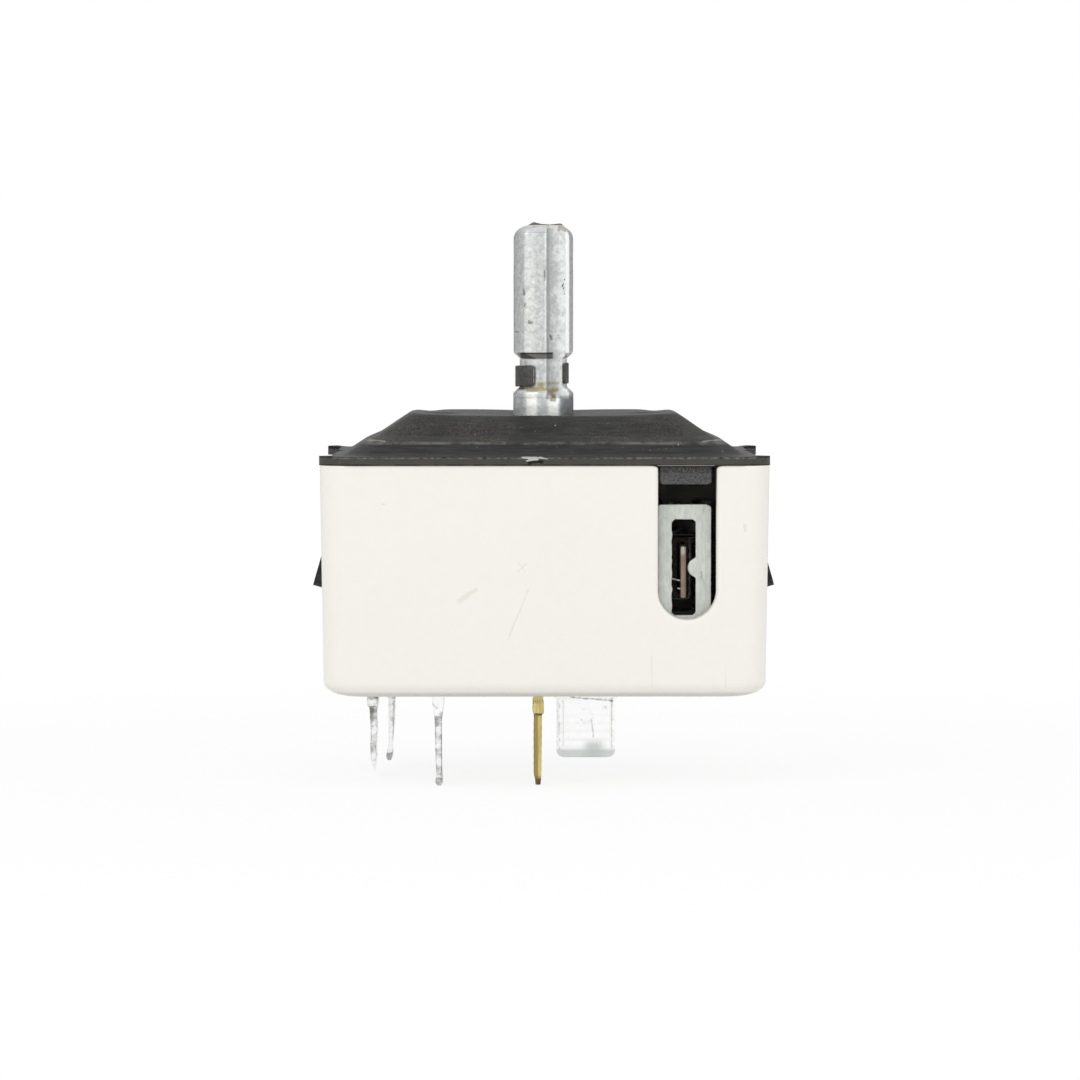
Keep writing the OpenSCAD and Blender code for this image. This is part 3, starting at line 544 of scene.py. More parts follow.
# %% Black paint
def black_paint():
    f = Finish("black_paint", (33, 33, 34), 0.4, specular=0.12)
    f.layer(f.clouds(5.0, 2.0, 0.7), (42, 42, 43), 0.5)
    f.layer(f.clouds(0.5, 3.0, 0.5), (49, 48, 47), 0.6, height=0.012)
    f.layer(f.clouds(0.35, 5.0, 0.3, f.stretched(0.12, 1, 1)), (76, 75, 73), 0.55)
    patchy, drift = f.clouds(1.6, 4.0), f.stretched(1, 0.45, 0.45)
    upper = f.both(f.zone("Z", -2.95, -0.3, 0.3), f.clouds(6.0, 3.0))
    f.layer([upper, f.clouds(0.22, 5.0, 0.36, drift)], (104, 101, 90), 0.85, height=0.008)
    f.layer([upper, f.specks(0.34, 0.24, 0.15, 0.85, drift)], (166, 159, 134), 0.85)
    # Painted highlight along the slope's lower step, broken into patches.
    f.bands("Z", [(-3.12, -3.0, 0.16, 0.55, (126, 124, 115), 0.7)], patchy)
    # Painted highlight along the flange's rounded top edge, broken into dashes.
    f.bands("Z", [(-4.52, -4.44, 0.09, 0.7, (138, 136, 131), 0.5, None, -0.01)], f.clouds(0.5, 2.2))
    f.bands("Z", [(-5.1, -4.62, 0.08, 0.5, (92, 91, 89), 0.5), (-6.0, -5.17, 0.06, 0.9, (34, 29, 26), 0.6)])
    # Browner along the flange's lower edge, in patches.
    f.bands("Z", [(-5.3, -5.1, 0.1, 0.5, (94, 80, 60), 0.7)], patchy)
    # Painted shade: the tops of the flange's corner ears are darkened.
    ear_top_shade = [(low, low + 1.9, 0.3, 0.7, (22, 22, 23), 0.75) for low in (-24.0, 22.1)]
    f.bands("X", ear_top_shade, f.zone("Z", -4.5, -4.0, 0.05))
    # Painted highlight: a light line along the flange's lower edge over the slot.
    f.bands("X", [(11.7, 17.4, 0.2, 0.8, (168, 168, 166), 0.4)], f.zone("Z", -5.255, -5.225, 0.03))
    tab_skin = f.both(f.zone("Z", -7.6, -5.45, 0.1), f.zone("X", 11.8, 17.3, 0.1))
    f.layer([tab_skin, f.clouds(0.18, 2.2, 0.75)], (120, 121, 120), 0.6, height=0.01)
    f.layer([tab_skin, f.specks(0.2, 0.35, 0.16, 0.45)], (150, 152, 150), 0.5)
    f.layer(f.specks(0.75, 0.3, 0.16, 0.5), (128, 125, 118), 0.8)
    f.layer(f.specks(2.1, 0.16, 0.09, 0.7), (190, 184, 172), 0.8)
    f.marks([((-2.3, -17.9, -4.35), (-0.9, -17.9, -4.5), 0.42), ((-0.6, -17.9, -4.4), (0.2, -17.9, -4.55), 0.16),
             ((-1.9, -17.9, -4.75), (-1.2, -17.9, -4.6), 0.2)], (196, 194, 188), 0.9, 0.4, -0.04)
    f.marks([((-1.6, -17.9, -4.95), (-0.3, -17.9, -4.85), 0.3)], (24, 23, 23), 0.9, 0.7)
    # Painted highlights where the slope's front corners catch the light.
    for side in (-1, 1):
        f.marks([((side * 18.7, -9.6, -2.86), (side * 17.9, -12.0, -2.84), 0.55),
                 ((side * 17.9, -12.0, -2.84), (side * 16.6, -13.1, -2.86), 0.4)], (158, 156, 149), 0.55, 0.6)
    f.marks([((-14.0, -16.6, -4.0), (-9.5, -15.2, -3.2), 0.07), ((3.0, -14.2, -2.9), (9.4, -16.4, -4.0), 0.06),
             ((15.6, -13.0, -2.5), (18.8, -16.0, -3.9), 0.07), ((-20.5, -9.0, -3.0), (-18.2, -2.0, -2.9), 0.08),
             ((-9.0, 4.6, 0), (-5.2, 6.9, 0), 0.07), ((5.5, -6.4, 0), (9.6, -3.2, 0), 0.06)],
            (128, 126, 120), 0.7, 0.5, -0.01)
    f.marks([((-4.4, -4.6, -0.2), (-3.2, -4.2, -0.2), 0.7), ((3.1, -3.2, -0.15), (4.6, -2.6, -0.15), 0.7),
             ((-7.4, -6.0, -0.2), (-6.4, -5.6, -0.2), 0.4)], (172, 160, 122), 0.8, 0.8, 0.03)
    return f.done(0.7)


# %% Zinc casting
def zinc_casting():
    f = Finish("zinc_casting", (216, 219, 218), 0.36, 0.85)
    f.layer(f.clouds(1.9, 2.5, 0.5), (206, 210, 210), 0.44)
    f.layer(f.clouds(0.6, 3.5, 0.55), (246, 248, 245), 0.32, height=0.015)
    f.layer(f.clouds(0.5, 6.0, 0.45), (172, 174, 172), 0.5, height=-0.015)
    f.layer(f.clouds(0.24, 4.5, 0.4), (184, 186, 184), 0.5, height=-0.01)
    f.layer(f.specks(0.6, 0.34, 0.16, 0.75), (128, 129, 125), 0.7, 0.5, -0.03)
    front = f.zone("Y", -4.0, -1.1, 0.1)
    drawn = f.both(f.zone("Z", 1.4, 19.3, 0.3), front)
    # Painted shade on the slot's floor, darkest by its left wall and fading towards the rib.
    slot_floor_shade = soft_step(f.tree, f.axis("X"), 0.4 * MM, 1.05 * MM, 0.8, 0.0)
    f.layer([drawn, f.zone("X", 0.36, 3.0, 0.05), slot_floor_shade], (168, 173, 174), 0.5)
    # Painted highlights in broken bands: along the flat's left edge, at the slot's edge, over the rib and on the slot's
    # right wall; painted shade down the stem's right side.
    f.bands("X", [(-1.7, -1.2, 0.5, 1, (248, 250, 247), 0.3), (0.14, 0.28, 0.07, 1, (250, 252, 251), 0.3),
                  (1.25, 2.1, 0.35, 1, (248, 250, 249), 0.3)], drawn, f.clouds(0.8, 2.5, 0.75))
    f.bands("X", [(2.38, 2.68, 0.06, 0.9, (252, 253, 252), 0.3), (2.82, 3.4, 0.08, 0.35, (180, 183, 183), 0.45)], drawn)
    # Painted highlights and painted shade in upright bands round the collar.
    f.bands("X", [(-1.7, -0.85, 0.25, 0.85, (252, 253, 251), 0.36), (0.65, 1.4, 0.3, 0.85, (252, 253, 251), 0.36),
                  (-0.45, 0.2, 0.25, 0.5, (196, 200, 201), 0.36), (1.9, 3.4, 0.4, 0.8, (126, 130, 132), 0.36)],
            f.zone("Z", -1.0, 1.35, 0.55))
    cake = f.clouds(0.7, 3.0)
    f.bands("X", [(-1.7, 1.3, 0.5, 1, (172, 162, 116), 0.7, 0.1, 0.03)],
            f.zone("Z", 2.2, 2.95, 0.3), calc(f.tree, "ADD", cake, 0.1))
    f.bands("X", [(0.8, 1.15, 0.35, 0.8, (164, 142, 116), 0.7, 0.1, 0.02)],
            f.zone("Z", 1.2, 2.2, 0.25), front, calc(f.tree, "ADD", cake, 0.25))
    # Painted shadow under the flat's shoulder, darkest in a thin line at its edge.
    f.bands("Z", [(5.6, 6.1, 0.12, 0.85, (84, 82, 75), 0.6, 0.4), (6.08, 6.2, 0.06, 0.95, (52, 51, 48), 0.6, 0.3)],
            front, f.zone("X", -2.4, 0.95, 0.12))
    # Painted shade on the bevel above the flat, darker along its lower crease.
    f.bands("Z", [(18.9, 18.96, 0.04, 0.5, (140, 143, 143), 0.5), (18.98, 19.6, 0.1, 0.4, (190, 193, 193), 0.5)],
            front, f.zone("X", -2.2, 0.3, 0.1))
    f.bands("Z", [(19.74, 21.0, 0.04, 0.95, (92, 76, 58), 0.8, 0.1)])
    f.bands("Z", [(19.74, 21.0, 0.04, 0.6, (136, 124, 104), 0.8)], f.clouds(0.5))
    f.marks([((1.6, -1.6, 19.4), (2.3, -1.4, 19.45), 0.7)], (150, 142, 122), 0.6, 0.7)
    f.marks([((-3.1, -0.7, 9.0), (-3.14, -0.4, 14.5), 0.2), ((-3.1, -0.8, 8.45), (-2.6, -1.9, 8.4), 0.14),
             ((0.1, -2.43, 14.9), (0.14, -2.43, 13.9), 0.2), ((-1.55, -2.43, 9.5), (-1.25, -2.43, 9.4), 0.4),
             ((-2.1, -2.4, 12.9), (-2.05, -2.4, 12.4), 0.3), ((-1.9, -2.43, 11.4), (-2.0, -2.43, 11.2), 0.25),
             ((0.7, -1.2, 8.0), (0.85, -1.2, 7.6), 0.3)], (112, 112, 108), 0.7, 0.6, -0.03)
    f.marks([((2.26, -1.57, 13.95), (2.32, -1.55, 13.75), 0.2), ((2.1, -1.62, 13.5), (1.98, -1.64, 13.2), 0.18),
             ((2.2, -1.59, 13.1), (2.1, -1.62, 12.95), 0.16), ((2.3, -1.55, 12.6), (2.28, -1.56, 12.4), 0.2),
             ((1.95, -1.65, 12.75), (1.9, -1.65, 12.6), 0.14)], (70, 68, 62), 0.9, 0.7, -0.05)
    return f.done(0.8)


# %% [markdown]
# ## Sheet, spring and contact metals
#
# The plate is galvanised steel, matt with a faint patchwork of zinc crystals. Springs and tabs are
# bright but handled: smudges, drag lines along their length, and darker ends. A light line on the
# clip's end is a painted highlight, and painted shade marks the dimple and face edges of the tab that
# faces the camera. One function makes all of these from a base colour, a darker patch colour and the
# direction of its fine lines.

# %% Handled metals
def metal(name, base, patch, rough=0.35, share=0.9, grain=(1, 1, 1), patch_size=2.0, relief=0.01, lines=0.45,
          dots=0.5, dark_colour=(70, 62, 52)):
    """A handled metal, or a plain solid where the metal share is 0: cloudy patches of a second colour,
    fine lines along the grain, small specks, and a darker colour with a ragged edge where the piece's
    darkening attribute says. On the tabs that darkening is stains and soot, and on the tab that faces
    the camera also painted shade."""
    f = Finish(name, base, rough, share)
    patch = np.array(patch)
    f.layer(f.clouds(patch_size, 2.2, 0.7), patch, rough + 0.12)
    f.layer(f.clouds(0.3, 4.0, lines, f.stretched(*grain)), 0.86 * patch, rough + 0.05, height=-relief)
    f.layer(f.specks(0.8, 0.2, 0.14, dots), 0.6 * patch, 0.7, height=-relief)
    darkening = put(f.tree, "Attribute", attribute_name="darkening").outputs["Fac"]
    ragged = calc(f.tree, "MULTIPLY", calc(f.tree, "SUBTRACT", f.clouds(0.5), 0.5), 0.4)
    darkened = soft_step(f.tree, calc(f.tree, "ADD", darkening, ragged), 0.1, 0.9, 0.0, 0.85)
    f.layer(darkened, dark_colour, 0.65, 0.4)
    return f


def galvanised_steel():
    f = metal("galvanised_steel", (224, 228, 221), (208, 212, 206), 0.5, 0.3, (1, 1, 0.3), 2.4, lines=0.35)
    f.layer(f.specks(1.6, 0.45, 0.5, 0.3), (224, 228, 221), 0.42)
    f.marks([((16.25, -15.2, -16.4), (16.3, -15.2, -17.0), 0.16), ((16.1, -15.2, -16.8), (16.5, -15.2, -17.3), 0.08)],
            (150, 148, 141), 0.55, 0.6, -0.02)
    return f.done()


def bimetal_strip():
    f = metal("bimetal_strip", (158, 137, 122), (134, 114, 100), 0.4, 0.75, (1, 0.1, 1), 1.6)
    f.bands("Z", [(-14.35, -13.0, 0.5, 1, (186, 182, 174))], f.clouds(0.7))
    f.bands("X", [(14.52, 15.0, 0.08, 0.7, (112, 96, 86))])
    return f.done()


def brass():
    f = metal("brass", (222, 208, 142), (196, 178, 112), 0.32, 0.95, (1, 1, 0.12), 1.4)
    f.bands("X", [(-1.3, -0.74, 0.1, 0.85, (158, 138, 74), 0.45)], f.zone("Z", -60, -31.2, 0.1))
    f.bands("Z", [(-41, -38.1, 0.6, 0.8, (104, 78, 44), 0.5)])
    return f.done()


def tinned_steel():
    f = metal("tinned_steel", (254, 254, 254), (249, 250, 250), 0.16, 0.95, (1, 1, 0.3), 1.8, 0.004, 0.04, 0.08,
              (104, 103, 99))
    f.layer(f.clouds(0.7, 4.0, 0.1), (226, 228, 227), 0.3)
    face = f.both(f.zone("Y", 4.2, 4.8, 0.1), f.zone("X", 1.5, 7.8, 0.1))
    f.layer(face, rough=0.1, metal=1.0)
    f.bands("Z", [(-60, -36.8, 0.4, 0.75, (204, 209, 206), 0.4)], face)
    f.bands("Z", [(-60, -36.3, 1.1, 0.8, (202, 207, 204), 0.4)], face, f.zone("X", 5.3, 5.7, 1.5))
    f.marks([((5.25, 4.6, -33.5), (5.45, 4.6, -35.3), 0.16), ((5.0, 4.6, -36.95), (6.9, 4.6, -36.9), 0.12)],
            (186, 192, 188), 0.6, 0.4)
    return f.done()


def mica_wrap():
    f = metal("mica_wrap", (112, 96, 72), (84, 70, 50), 0.4, 0.0, (1, 0.2, 1), 1.2, 0.02)
    f.layer(f.specks(0.5, 0.5, 0.5, 0.5), (140, 124, 96), 0.25, height=0.02)
    return f.done()


def dark_spring_steel():
    f = metal("dark_spring_steel", (104, 103, 100), (70, 70, 69), 0.38, 0.8)
    # Painted highlight: a light line along the clip's end.
    f.marks([((-1.02, -2.64, 3.0), (-1.04, -2.64, 4.6), 0.1)], (158, 158, 155))
    return f.done()


# %% Every finish by its slot
PLAIN = {
    "spring_steel": ((178, 178, 175), (140, 141, 139), 0.3),
    "heater_wire": ((252, 251, 247), (236, 233, 226), 0.4, 0.25, (1, 1, 1), 0.8),
    "contact_copper": ((204, 150, 112), (170, 112, 78), 0.3, 0.9, (0.15, 1, 1)),
    "contact_silver": ((226, 225, 221), (188, 187, 183), 0.28, 0.9, (1, 1, 1), 1.0),
    "white_ceramic": ((238, 236, 229), (224, 219, 208), 0.3, 0.0),
    "dark_phenolic": ((74, 52, 38), (56, 38, 29), 0.42, 0.0, (1, 1, 1), 3.0, 0.02),
    "oiled_steel": ((64, 62, 58), (44, 43, 41), 0.35, 0.7),
}
MADE = (ivory_moulding, black_paint, zinc_casting, galvanised_steel, bimetal_strip, brass, tinned_steel, mica_wrap,
        dark_spring_steel)
FINISHES = {make.__name__: make() for make in MADE}
FINISHES |= {name: metal(name, *values).done() for name, values in PLAIN.items()}
for name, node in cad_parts.items():
    for place in node.material_slots:
        place.material = FINISHES[place.material.name.split(".")[0]]
for name in ("thermal_lever", "lever_pin", "blade_rivets"):
    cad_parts[name].material_slots[0].material = FINISHES["oiled_steel"]
print("finishes:", len(FINISHES))

# %% [markdown]
# ## Housing
#
# The box is moulded in one shot: walls that lean in slightly so that it leaves the mould, a round
# lower edge, and a long slot in the front wall that is open at the rim. A boolean cut would leave
# ragged shading round the slot, so the wall's own grid is bent round it instead, and a strip of
# faces carries the outer hole through the wall to the inner one.

# %% Housing sizes
RIM, BASE, FLOOR, WELL = -5.28, -29.25, -27.18, -27.98
HALF_X, HALF_Y = 23.3, 17.8
DRAFT, FILLET, CORNER = 0.35, 1.5, 2.3
SWEEP_X, SWEEP_Y = 3.0, 1.1
IN_X, IN_Y, IN_CORNER = 21.2, 15.7, 1.3
SLOT_X, SLOT_HALF, SLOT_END = 14.72, 3.03, -18.2
SLOT_EDGE, RIM_ROUND = 0.3, 0.35
SLOT_REACH = 1.42
SLOT_DEEP, SLOT_LEFT, SLOT_CELLS = 28, 38, 16
LEG_HALF, LEG_FLOOR, LEG_WALL = 4.15, -19.58, 22.3
NUB_HALF, NUB_TOP, NUB_FOOT, NUB_X = 1.6, -11.88, -14.28, 23.1
STEP = 0.02


def slot_rows(half):
    """Heights of the wall's grid lines, dense where the slot's end curves. SLOT_DEEP cells of them lie
    beside the slot."""
    wall = spaced(RIM, (RIM - 0.1, 1), (RIM - 0.25, 1), (RIM - 0.45, 1), (RIM - 0.7, 1), (NUB_TOP, 7),
                  (NUB_FOOT, 3), (NUB_FOOT - STEP, 1), (SLOT_END, 5))
    share = np.array([0.14, 0.28, 0.417, 0.423, 0.56, 0.7, 0.85, 1.0])
    far = SLOT_END - half * SLOT_REACH
    return np.concatenate([wall, SLOT_END - half * share, np.linspace(SLOT_END - half, far, 5)[1:],
                           np.linspace(far, BASE + FILLET, 7)[1:]])


def slot_columns(half, end):
    """Places of the front wall's upright grid lines, between the two corners. SLOT_LEFT cells stand
    left of the slot and SLOT_CELLS across it."""
    far = half * SLOT_REACH
    return spaced(-end, (SLOT_X - far, SLOT_LEFT - 4), (SLOT_X - half, 4), (SLOT_X + half, SLOT_CELLS),
                  (SLOT_X + far, 4), (end, 2))


def wall_skin(half, hx, hy, r, z, wall_rows):
    """One skin of the box: stacked rings whose front wall is bent round the slot. Returns the points
    and the mask of cells to keep, with the slot's cells left out."""
    front = slot_columns(half, min((hx - r)[0], 19.95)) / (hx - r)[:, None]
    front[:, 0], front[:, -1] = -1, 1
    lines = spaced(-14, (-LEG_HALF - STEP, 5), (-LEG_HALF, 1), (-NUB_HALF - STEP, 1), (-NUB_HALF, 1))
    lines = np.concatenate([lines, [-0.8, 0, 0.8], -lines[::-1]])
    side = np.pad(lines / (hy - r)[:, None], ((0, 0), (1, 1)), constant_values=((0, 0), (-1, 1)))
    front[wall_rows:], side[wall_rows:] = front[wall_rows - 1], side[wall_rows - 1]
    ring = rings(hx, hy, r, z, front, side)
    wall = ring[:wall_rows, :front.shape[1]]
    x, up = bend_round(wall[..., 0], wall[..., 2], (SLOT_X, SLOT_END), half, half, SLOT_REACH, open_top=True)
    near = np.clip(1 - (np.abs(x - SLOT_X) - half) / 2.5, 0, 1)
    wall[..., 0] = x + np.sign(x - SLOT_X) * RIM_ROUND * fall(1 - (RIM - up) / RIM_ROUND) * near
    wall[..., 1] = -(hy[0] - (z[0] - up) * (hy[0] - hy[wall_rows - 1]) / (z[0] - z[wall_rows - 1]))
    wall[..., 2] = up
    i, j = np.indices((len(z) - 1, ring.shape[1]))
    return ring, ~((i < SLOT_DEEP) & (j >= SLOT_LEFT) & (j < SLOT_LEFT + SLOT_CELLS))


# %% Housing walls
def leg_pockets(ring):
    """Pockets in the two side walls for the cover's legs, each with a sloping nub: the wall's x is
    capped at the pocket wall, or at the nub's face where the nub stands."""
    x, y, z = np.moveaxis(ring, -1, 0)
    nub = LEG_WALL + (NUB_X - LEG_WALL) * np.clip((NUB_TOP - z) / (NUB_TOP - NUB_FOOT), 0, 1)
    nub = np.where((np.abs(y) <= NUB_HALF + 1e-6) & (z >= NUB_FOOT - 1e-6), nub, LEG_WALL)
    inside = (np.abs(y) <= LEG_HALF + 1e-6) & (z >= LEG_FLOOR - 1e-6) & (np.abs(x) > LEG_WALL)
    ring[..., 0] = np.where(inside, np.sign(x) * np.minimum(np.abs(x), nub), x)
    return ring


half_out = SLOT_HALF + SLOT_EDGE
z_out = slot_rows(half_out)
lean = DRAFT * (RIM - z_out) / (RIM - BASE - FILLET)
a = np.linspace(np.pi / 2, 0, 9)[1:]
cut_x, cut_y = (np.concatenate([lean, DRAFT + sweep * (1 - np.sin(a)), [DRAFT + sweep + 0.4]])
                for sweep in (SWEEP_X, SWEEP_Y))
z_all = np.concatenate([z_out, BASE + FILLET * (1 - np.cos(a)), [BASE]])
tight = np.concatenate([0 * lean, 0.6 * (1 - np.sin(a)), [0.75]])
outer, keep_out = wall_skin(half_out, HALF_X - cut_x, HALF_Y - cut_y, CORNER - tight, z_all, len(z_out))
outer = leg_pockets(outer)

z_in = slot_rows(SLOT_HALF)
z_in[-6:] = np.linspace(z_in[-7], FLOOR + 0.5, 7)[1:]
b = np.linspace(np.pi / 2, 0, 4)[1:]
cut_in = np.concatenate([0 * z_in, 0.5 * (1 - np.sin(b)), [0.9]])
z_in_all = np.concatenate([z_in, FLOOR + 0.5 * (1 - np.cos(b)), [FLOOR]])
inner, keep_in = wall_skin(SLOT_HALF, IN_X - cut_in, IN_Y - cut_in, IN_CORNER + 0 * cut_in, z_in_all, len(z_in))


def around_slot(ring):
    """The grid points on the slot's edge, from the rim down one side, round the end and up again."""
    right = SLOT_LEFT + SLOT_CELLS
    return np.concatenate([ring[:SLOT_DEEP, SLOT_LEFT], ring[SLOT_DEEP, SLOT_LEFT:right + 1],
                           ring[:SLOT_DEEP, right][::-1]])


edge_out, edge_in = around_slot(outer), around_slot(inner)
turn = arc_points(4)[:, None, None]
lip = edge_in + (edge_out - edge_in) * (1 - np.sin(turn))
lip[..., 1] = edge_out[None, :, 1] + SLOT_EDGE * (1 - np.cos(turn[..., 0]))
tunnel = np.concatenate([lip, edge_in[None]])
around = np.arctan2(inner[-1, :, 1], inner[-1, :, 0])
well = np.stack([inner[-1]] + [level(polar(r, around), z)
                               for r, z in ((6.0, FLOOR), (1.7, FLOOR), (1.7, WELL), (0.4, WELL))])
walls = [grid(outer, wrap_v=True, keep=keep_out), cap(outer[-1]), grid(inner, wrap_v=True, keep=keep_in),
         grid(well, wrap_v=True), cap(well[-1]), grid(tunnel), cap(tunnel[:, 0]), cap(tunnel[:, -1]),
         grid(np.stack([outer[0], inner[0]]), wrap_v=True, keep=keep_out[:1])]
print("wall grid:", outer.shape[:2], "inner:", inner.shape[:2])

# %% [markdown]
# ## Inside the housing
#
# The boss that the shaft turns on, the post for the lever pin and the ribs that guide the plate are
# part of the same moulding. They stand on the floor as small rounded blocks and turned forms, each a
# closed shell that is sunk a little into the floor.

# %% Boss, posts and ribs
def tube(outer_r, bore_r, low, high, at=(0, 0), edge=0.25):
    """A round post with a bore and rounded top edges: a closed profile spun round its axis."""
    a = arc_points(3)
    out = [(outer_r - edge * (1 - np.cos(t)), high - edge + edge * np.sin(t)) for t in a]
    hole = [(bore_r + edge * (1 - np.sin(t)), high - edge * (1 - np.cos(t))) for t in a]
    return [grid(spin([(outer_r + 0.1, low), *out, *hole, (bore_r, low)], at, 72), True, True)]


def slotted_post(lo, hi, slit, depth):
    """The detent spring's post: two cheeks with a slit between them."""
    return [*soft_block(lo, (slit[0], *hi[1:]), 0.12, 0.1), *soft_block((slit[1], *lo[1:]), hi, 0.12, 0.1),
            *soft_block((slit[0] - 0.2, lo[1] + 0.02, lo[2]), (slit[1] + 0.2, hi[1] - 0.02, depth), 0.05, 0.03)]


sunk = FLOOR - 0.25
inside = [*tube(4.0, 1.65, sunk, -21.98), *tube(2.2, 1.03, sunk, -21.78, (17.2, -10.0)),
          *slotted_post((-12, -9.6, sunk), (-9.6, -7.2, -7.4), (-10.98, -10.62), -11.0)]
for x0, y0, x1, y1, top, r in ((11.44, -15.85, 17.62, -13.2, -26.03, 0.2), (11.84, -14.35, 17.22, -13.2, -24.78, 0.2),
                               (2.4, -14.35, 3.6, -12.9, -18.78, 0.2), (8.6, -14.35, 9.8, -12.9, -18.78, 0.2),
                               (-21.35, -8.9, -11.8, -7.9, -13.0, 0.15)):
    inside += soft_block((x0, y0, sunk), (x1, y1, top), r, 0.12)
stop = np.radians(np.linspace(238.5, 271.5, 12))
stop = np.concatenate([polar(3.6, stop), polar(5.5, stop[::-1])])
inside += solid_stack(np.stack([level(stop, z) for z in (sunk, -25.78)]))
build("housing_shell", walls + inside, "body", "ivory_moulding", "housing")

# %% [markdown]
# ## Cover
#
# The cover is pressed from one steel sheet: a flat panel, a slope with two soft steps, a flange, two
# legs bent down over the box and a short tab in the slot. At its sides the flange stands back, and
# sticks out only at the four corners. It is drawn as the upper skin only. The Solidify modifier then
# gives the sheet its thickness, and Bevel rounds its cut edges.

# %% Cover sizes and levels
SHEET = 0.95
PANEL_X, PANEL_LESS = 13.5, 5.5
FLANGE, FLANGE_Z, LEG_X = 23.4, -4.33, 23.3
HOLE_R, SCREW_X, SCREW_R = 3.275, 11.1, 1.5
HOLE_CELL, SCREW_CELL, LEG_CELL = 3.55, 1.9, 3.55
SLOPE = [(PANEL_X, 0.0), (13.62, -0.01), (14.05, -0.1), (14.35, -0.27), (17.0, -2.08), (17.45, -2.37), (18.5, -2.82),
         (19.1, -3.11), (19.8, -3.58), (20.65, -4.13), (21.15, FLANGE_Z), (FLANGE, FLANGE_Z)]


def corner_radius(hx):
    """The ring's corner radius falls from the flange to the panel."""
    return 3.3 - 0.12 * (FLANGE - hx)


def slope_height(hx):
    """Height of the skin against the ring's half width, smoothed over a quarter millimetre."""
    fine = np.linspace(12, 25, 2601)
    line = np.interp(fine, *np.array(SLOPE).T)
    window = np.hanning(61)
    soft = np.convolve(line, window / window.sum(), mode="same")
    return np.interp(hx, fine, np.where((fine < PANEL_X) | (fine > 23.0), line, soft))


# %% Panel with its three holes
panel_r = corner_radius(PANEL_X)
panel_y = PANEL_X - PANEL_LESS
flat_x, flat_y = PANEL_X - panel_r, panel_y - panel_r
half_x = spaced(0, (HOLE_CELL, 8), (5.68, 4), (8.75, 4), (9.2, 2), (flat_x, 5), (13.0, 4), (PANEL_X, 1))
half_y = spaced(0, (SCREW_CELL, 5), (2.35, 1), (HOLE_CELL, 3), (5.68, 4), (flat_y, 1), (panel_y, 5))
columns = np.concatenate([-half_x[:0:-1], half_x])
lines = np.concatenate([-half_y[:0:-1], half_y])
px, py = np.meshgrid(columns, lines, indexing="ij")
u, v = np.clip(np.abs(px) - flat_x, 0, None) / panel_r, np.clip(np.abs(py) - flat_y, 0, None) / panel_r
in_corner = (u > 0) & (v > 0)
cu, cv = disc(u, v)
px = np.where(in_corner, np.sign(px) * (flat_x + panel_r * cu), px)
py = np.where(in_corner, np.sign(py) * (flat_y + panel_r * cv), py)
px, py = bend_round(px, py, (0, 0), HOLE_CELL, HOLE_R, 1.6)
for sx in (-1, 1):
    px, py = bend_round(px, py, (sx * SCREW_X, 0), SCREW_CELL, SCREW_CELL, 2.35 / SCREW_CELL)
cx, cy = np.meshgrid((columns[1:] + columns[:-1]) / 2, (lines[1:] + lines[:-1]) / 2, indexing="ij")
panel_keep = ~((np.maximum(np.abs(cx), np.abs(cy)) < HOLE_CELL)
               | (np.maximum(np.abs(np.abs(cx) - SCREW_X), np.abs(cy)) < SCREW_CELL))


def edge_dip(u, v):
    """How far the skin dips between the corners, against the shares u and v of the half sizes: deepest
    in the middle of the front edge, and beside the corners and near the stem at the back edge."""
    u, front = np.abs(u), ease((1 - v) / 2)
    at_back = 0.15 * np.exp(-(((u - 0.88) / 0.08) ** 2)) + 0.16 * np.exp(-((u / 0.3) ** 2))
    return front * 0.3 * np.clip(1 - u**4, 0, 1) + (1 - front) * at_back


def panel_height(x, y):
    """The face isn't quite flat: it sinks a little in the middle, its corners stand up slightly, and
    it is drawn in round the three holes."""
    u, v = np.abs(x) / PANEL_X, np.abs(y) / panel_y
    sink = 0.1 * np.clip(1 - np.maximum(u, v) ** 4, 0, 1) + 0.05 * np.clip(1 - u**6, 0, 1)
    wave = 0.02 * np.sin(0.7 * x + 0.4) * np.cos(0.9 * y - 0.3) * np.clip(1 - u, 0, 1)
    z = -edge_dip(x / PANEL_X, y / panel_y) - sink - wave
    for centre, radius, width in ((0, HOLE_R, 1.3), (-SCREW_X, SCREW_CELL, 0.5), (SCREW_X, SCREW_CELL, 0.5)):
        z = z - 0.12 * (1 - ease((np.hypot(x - centre, y) - radius) / width))
    return z


panel = np.stack([px, py, panel_height(px, py)], -1)
print("panel grid:", panel.shape[:2], "cells kept:", int(panel_keep.sum()))

# %% Slope and flange
def on_circle(half_lines, flat):
    """The angles that the panel's grid lines beyond its flat part take on the corner's circle."""
    t = (half_lines[half_lines >= flat - 1e-9] - flat) / panel_r
    return np.arctan2(t / math.sqrt(2), np.sqrt(1 - t * t / 2))


from_x, from_y = on_circle(half_x, flat_x), on_circle(half_y, flat_y)
first = np.concatenate([from_x, (np.pi / 2 - from_y)[::-1][1:]])
second = np.concatenate([from_y, (np.pi / 2 - from_x)[::-1][1:]])
LEG_Y, WINDOW_Y, BEND_X, SIDE_X = 4.0, 1.8, 21.3, 22.0
hx = np.concatenate([np.linspace(PANEL_X, BEND_X, 52), [21.65, SIDE_X, 22.7, 23.1, FLANGE]])
front = columns[np.abs(columns) <= flat_x + 1e-9] / flat_x
near = lines[np.abs(lines) <= flat_y + 1e-9]
reach_y = (hx - PANEL_LESS - corner_radius(hx))[:, None]
reach_bend = float(np.interp(BEND_X, hx, reach_y[:, 0]))
at_flange = np.sign(near) * np.interp(np.abs(near), [0, SCREW_CELL, LEG_CELL, flat_y], [0, WINDOW_Y, LEG_Y, reach_bend])
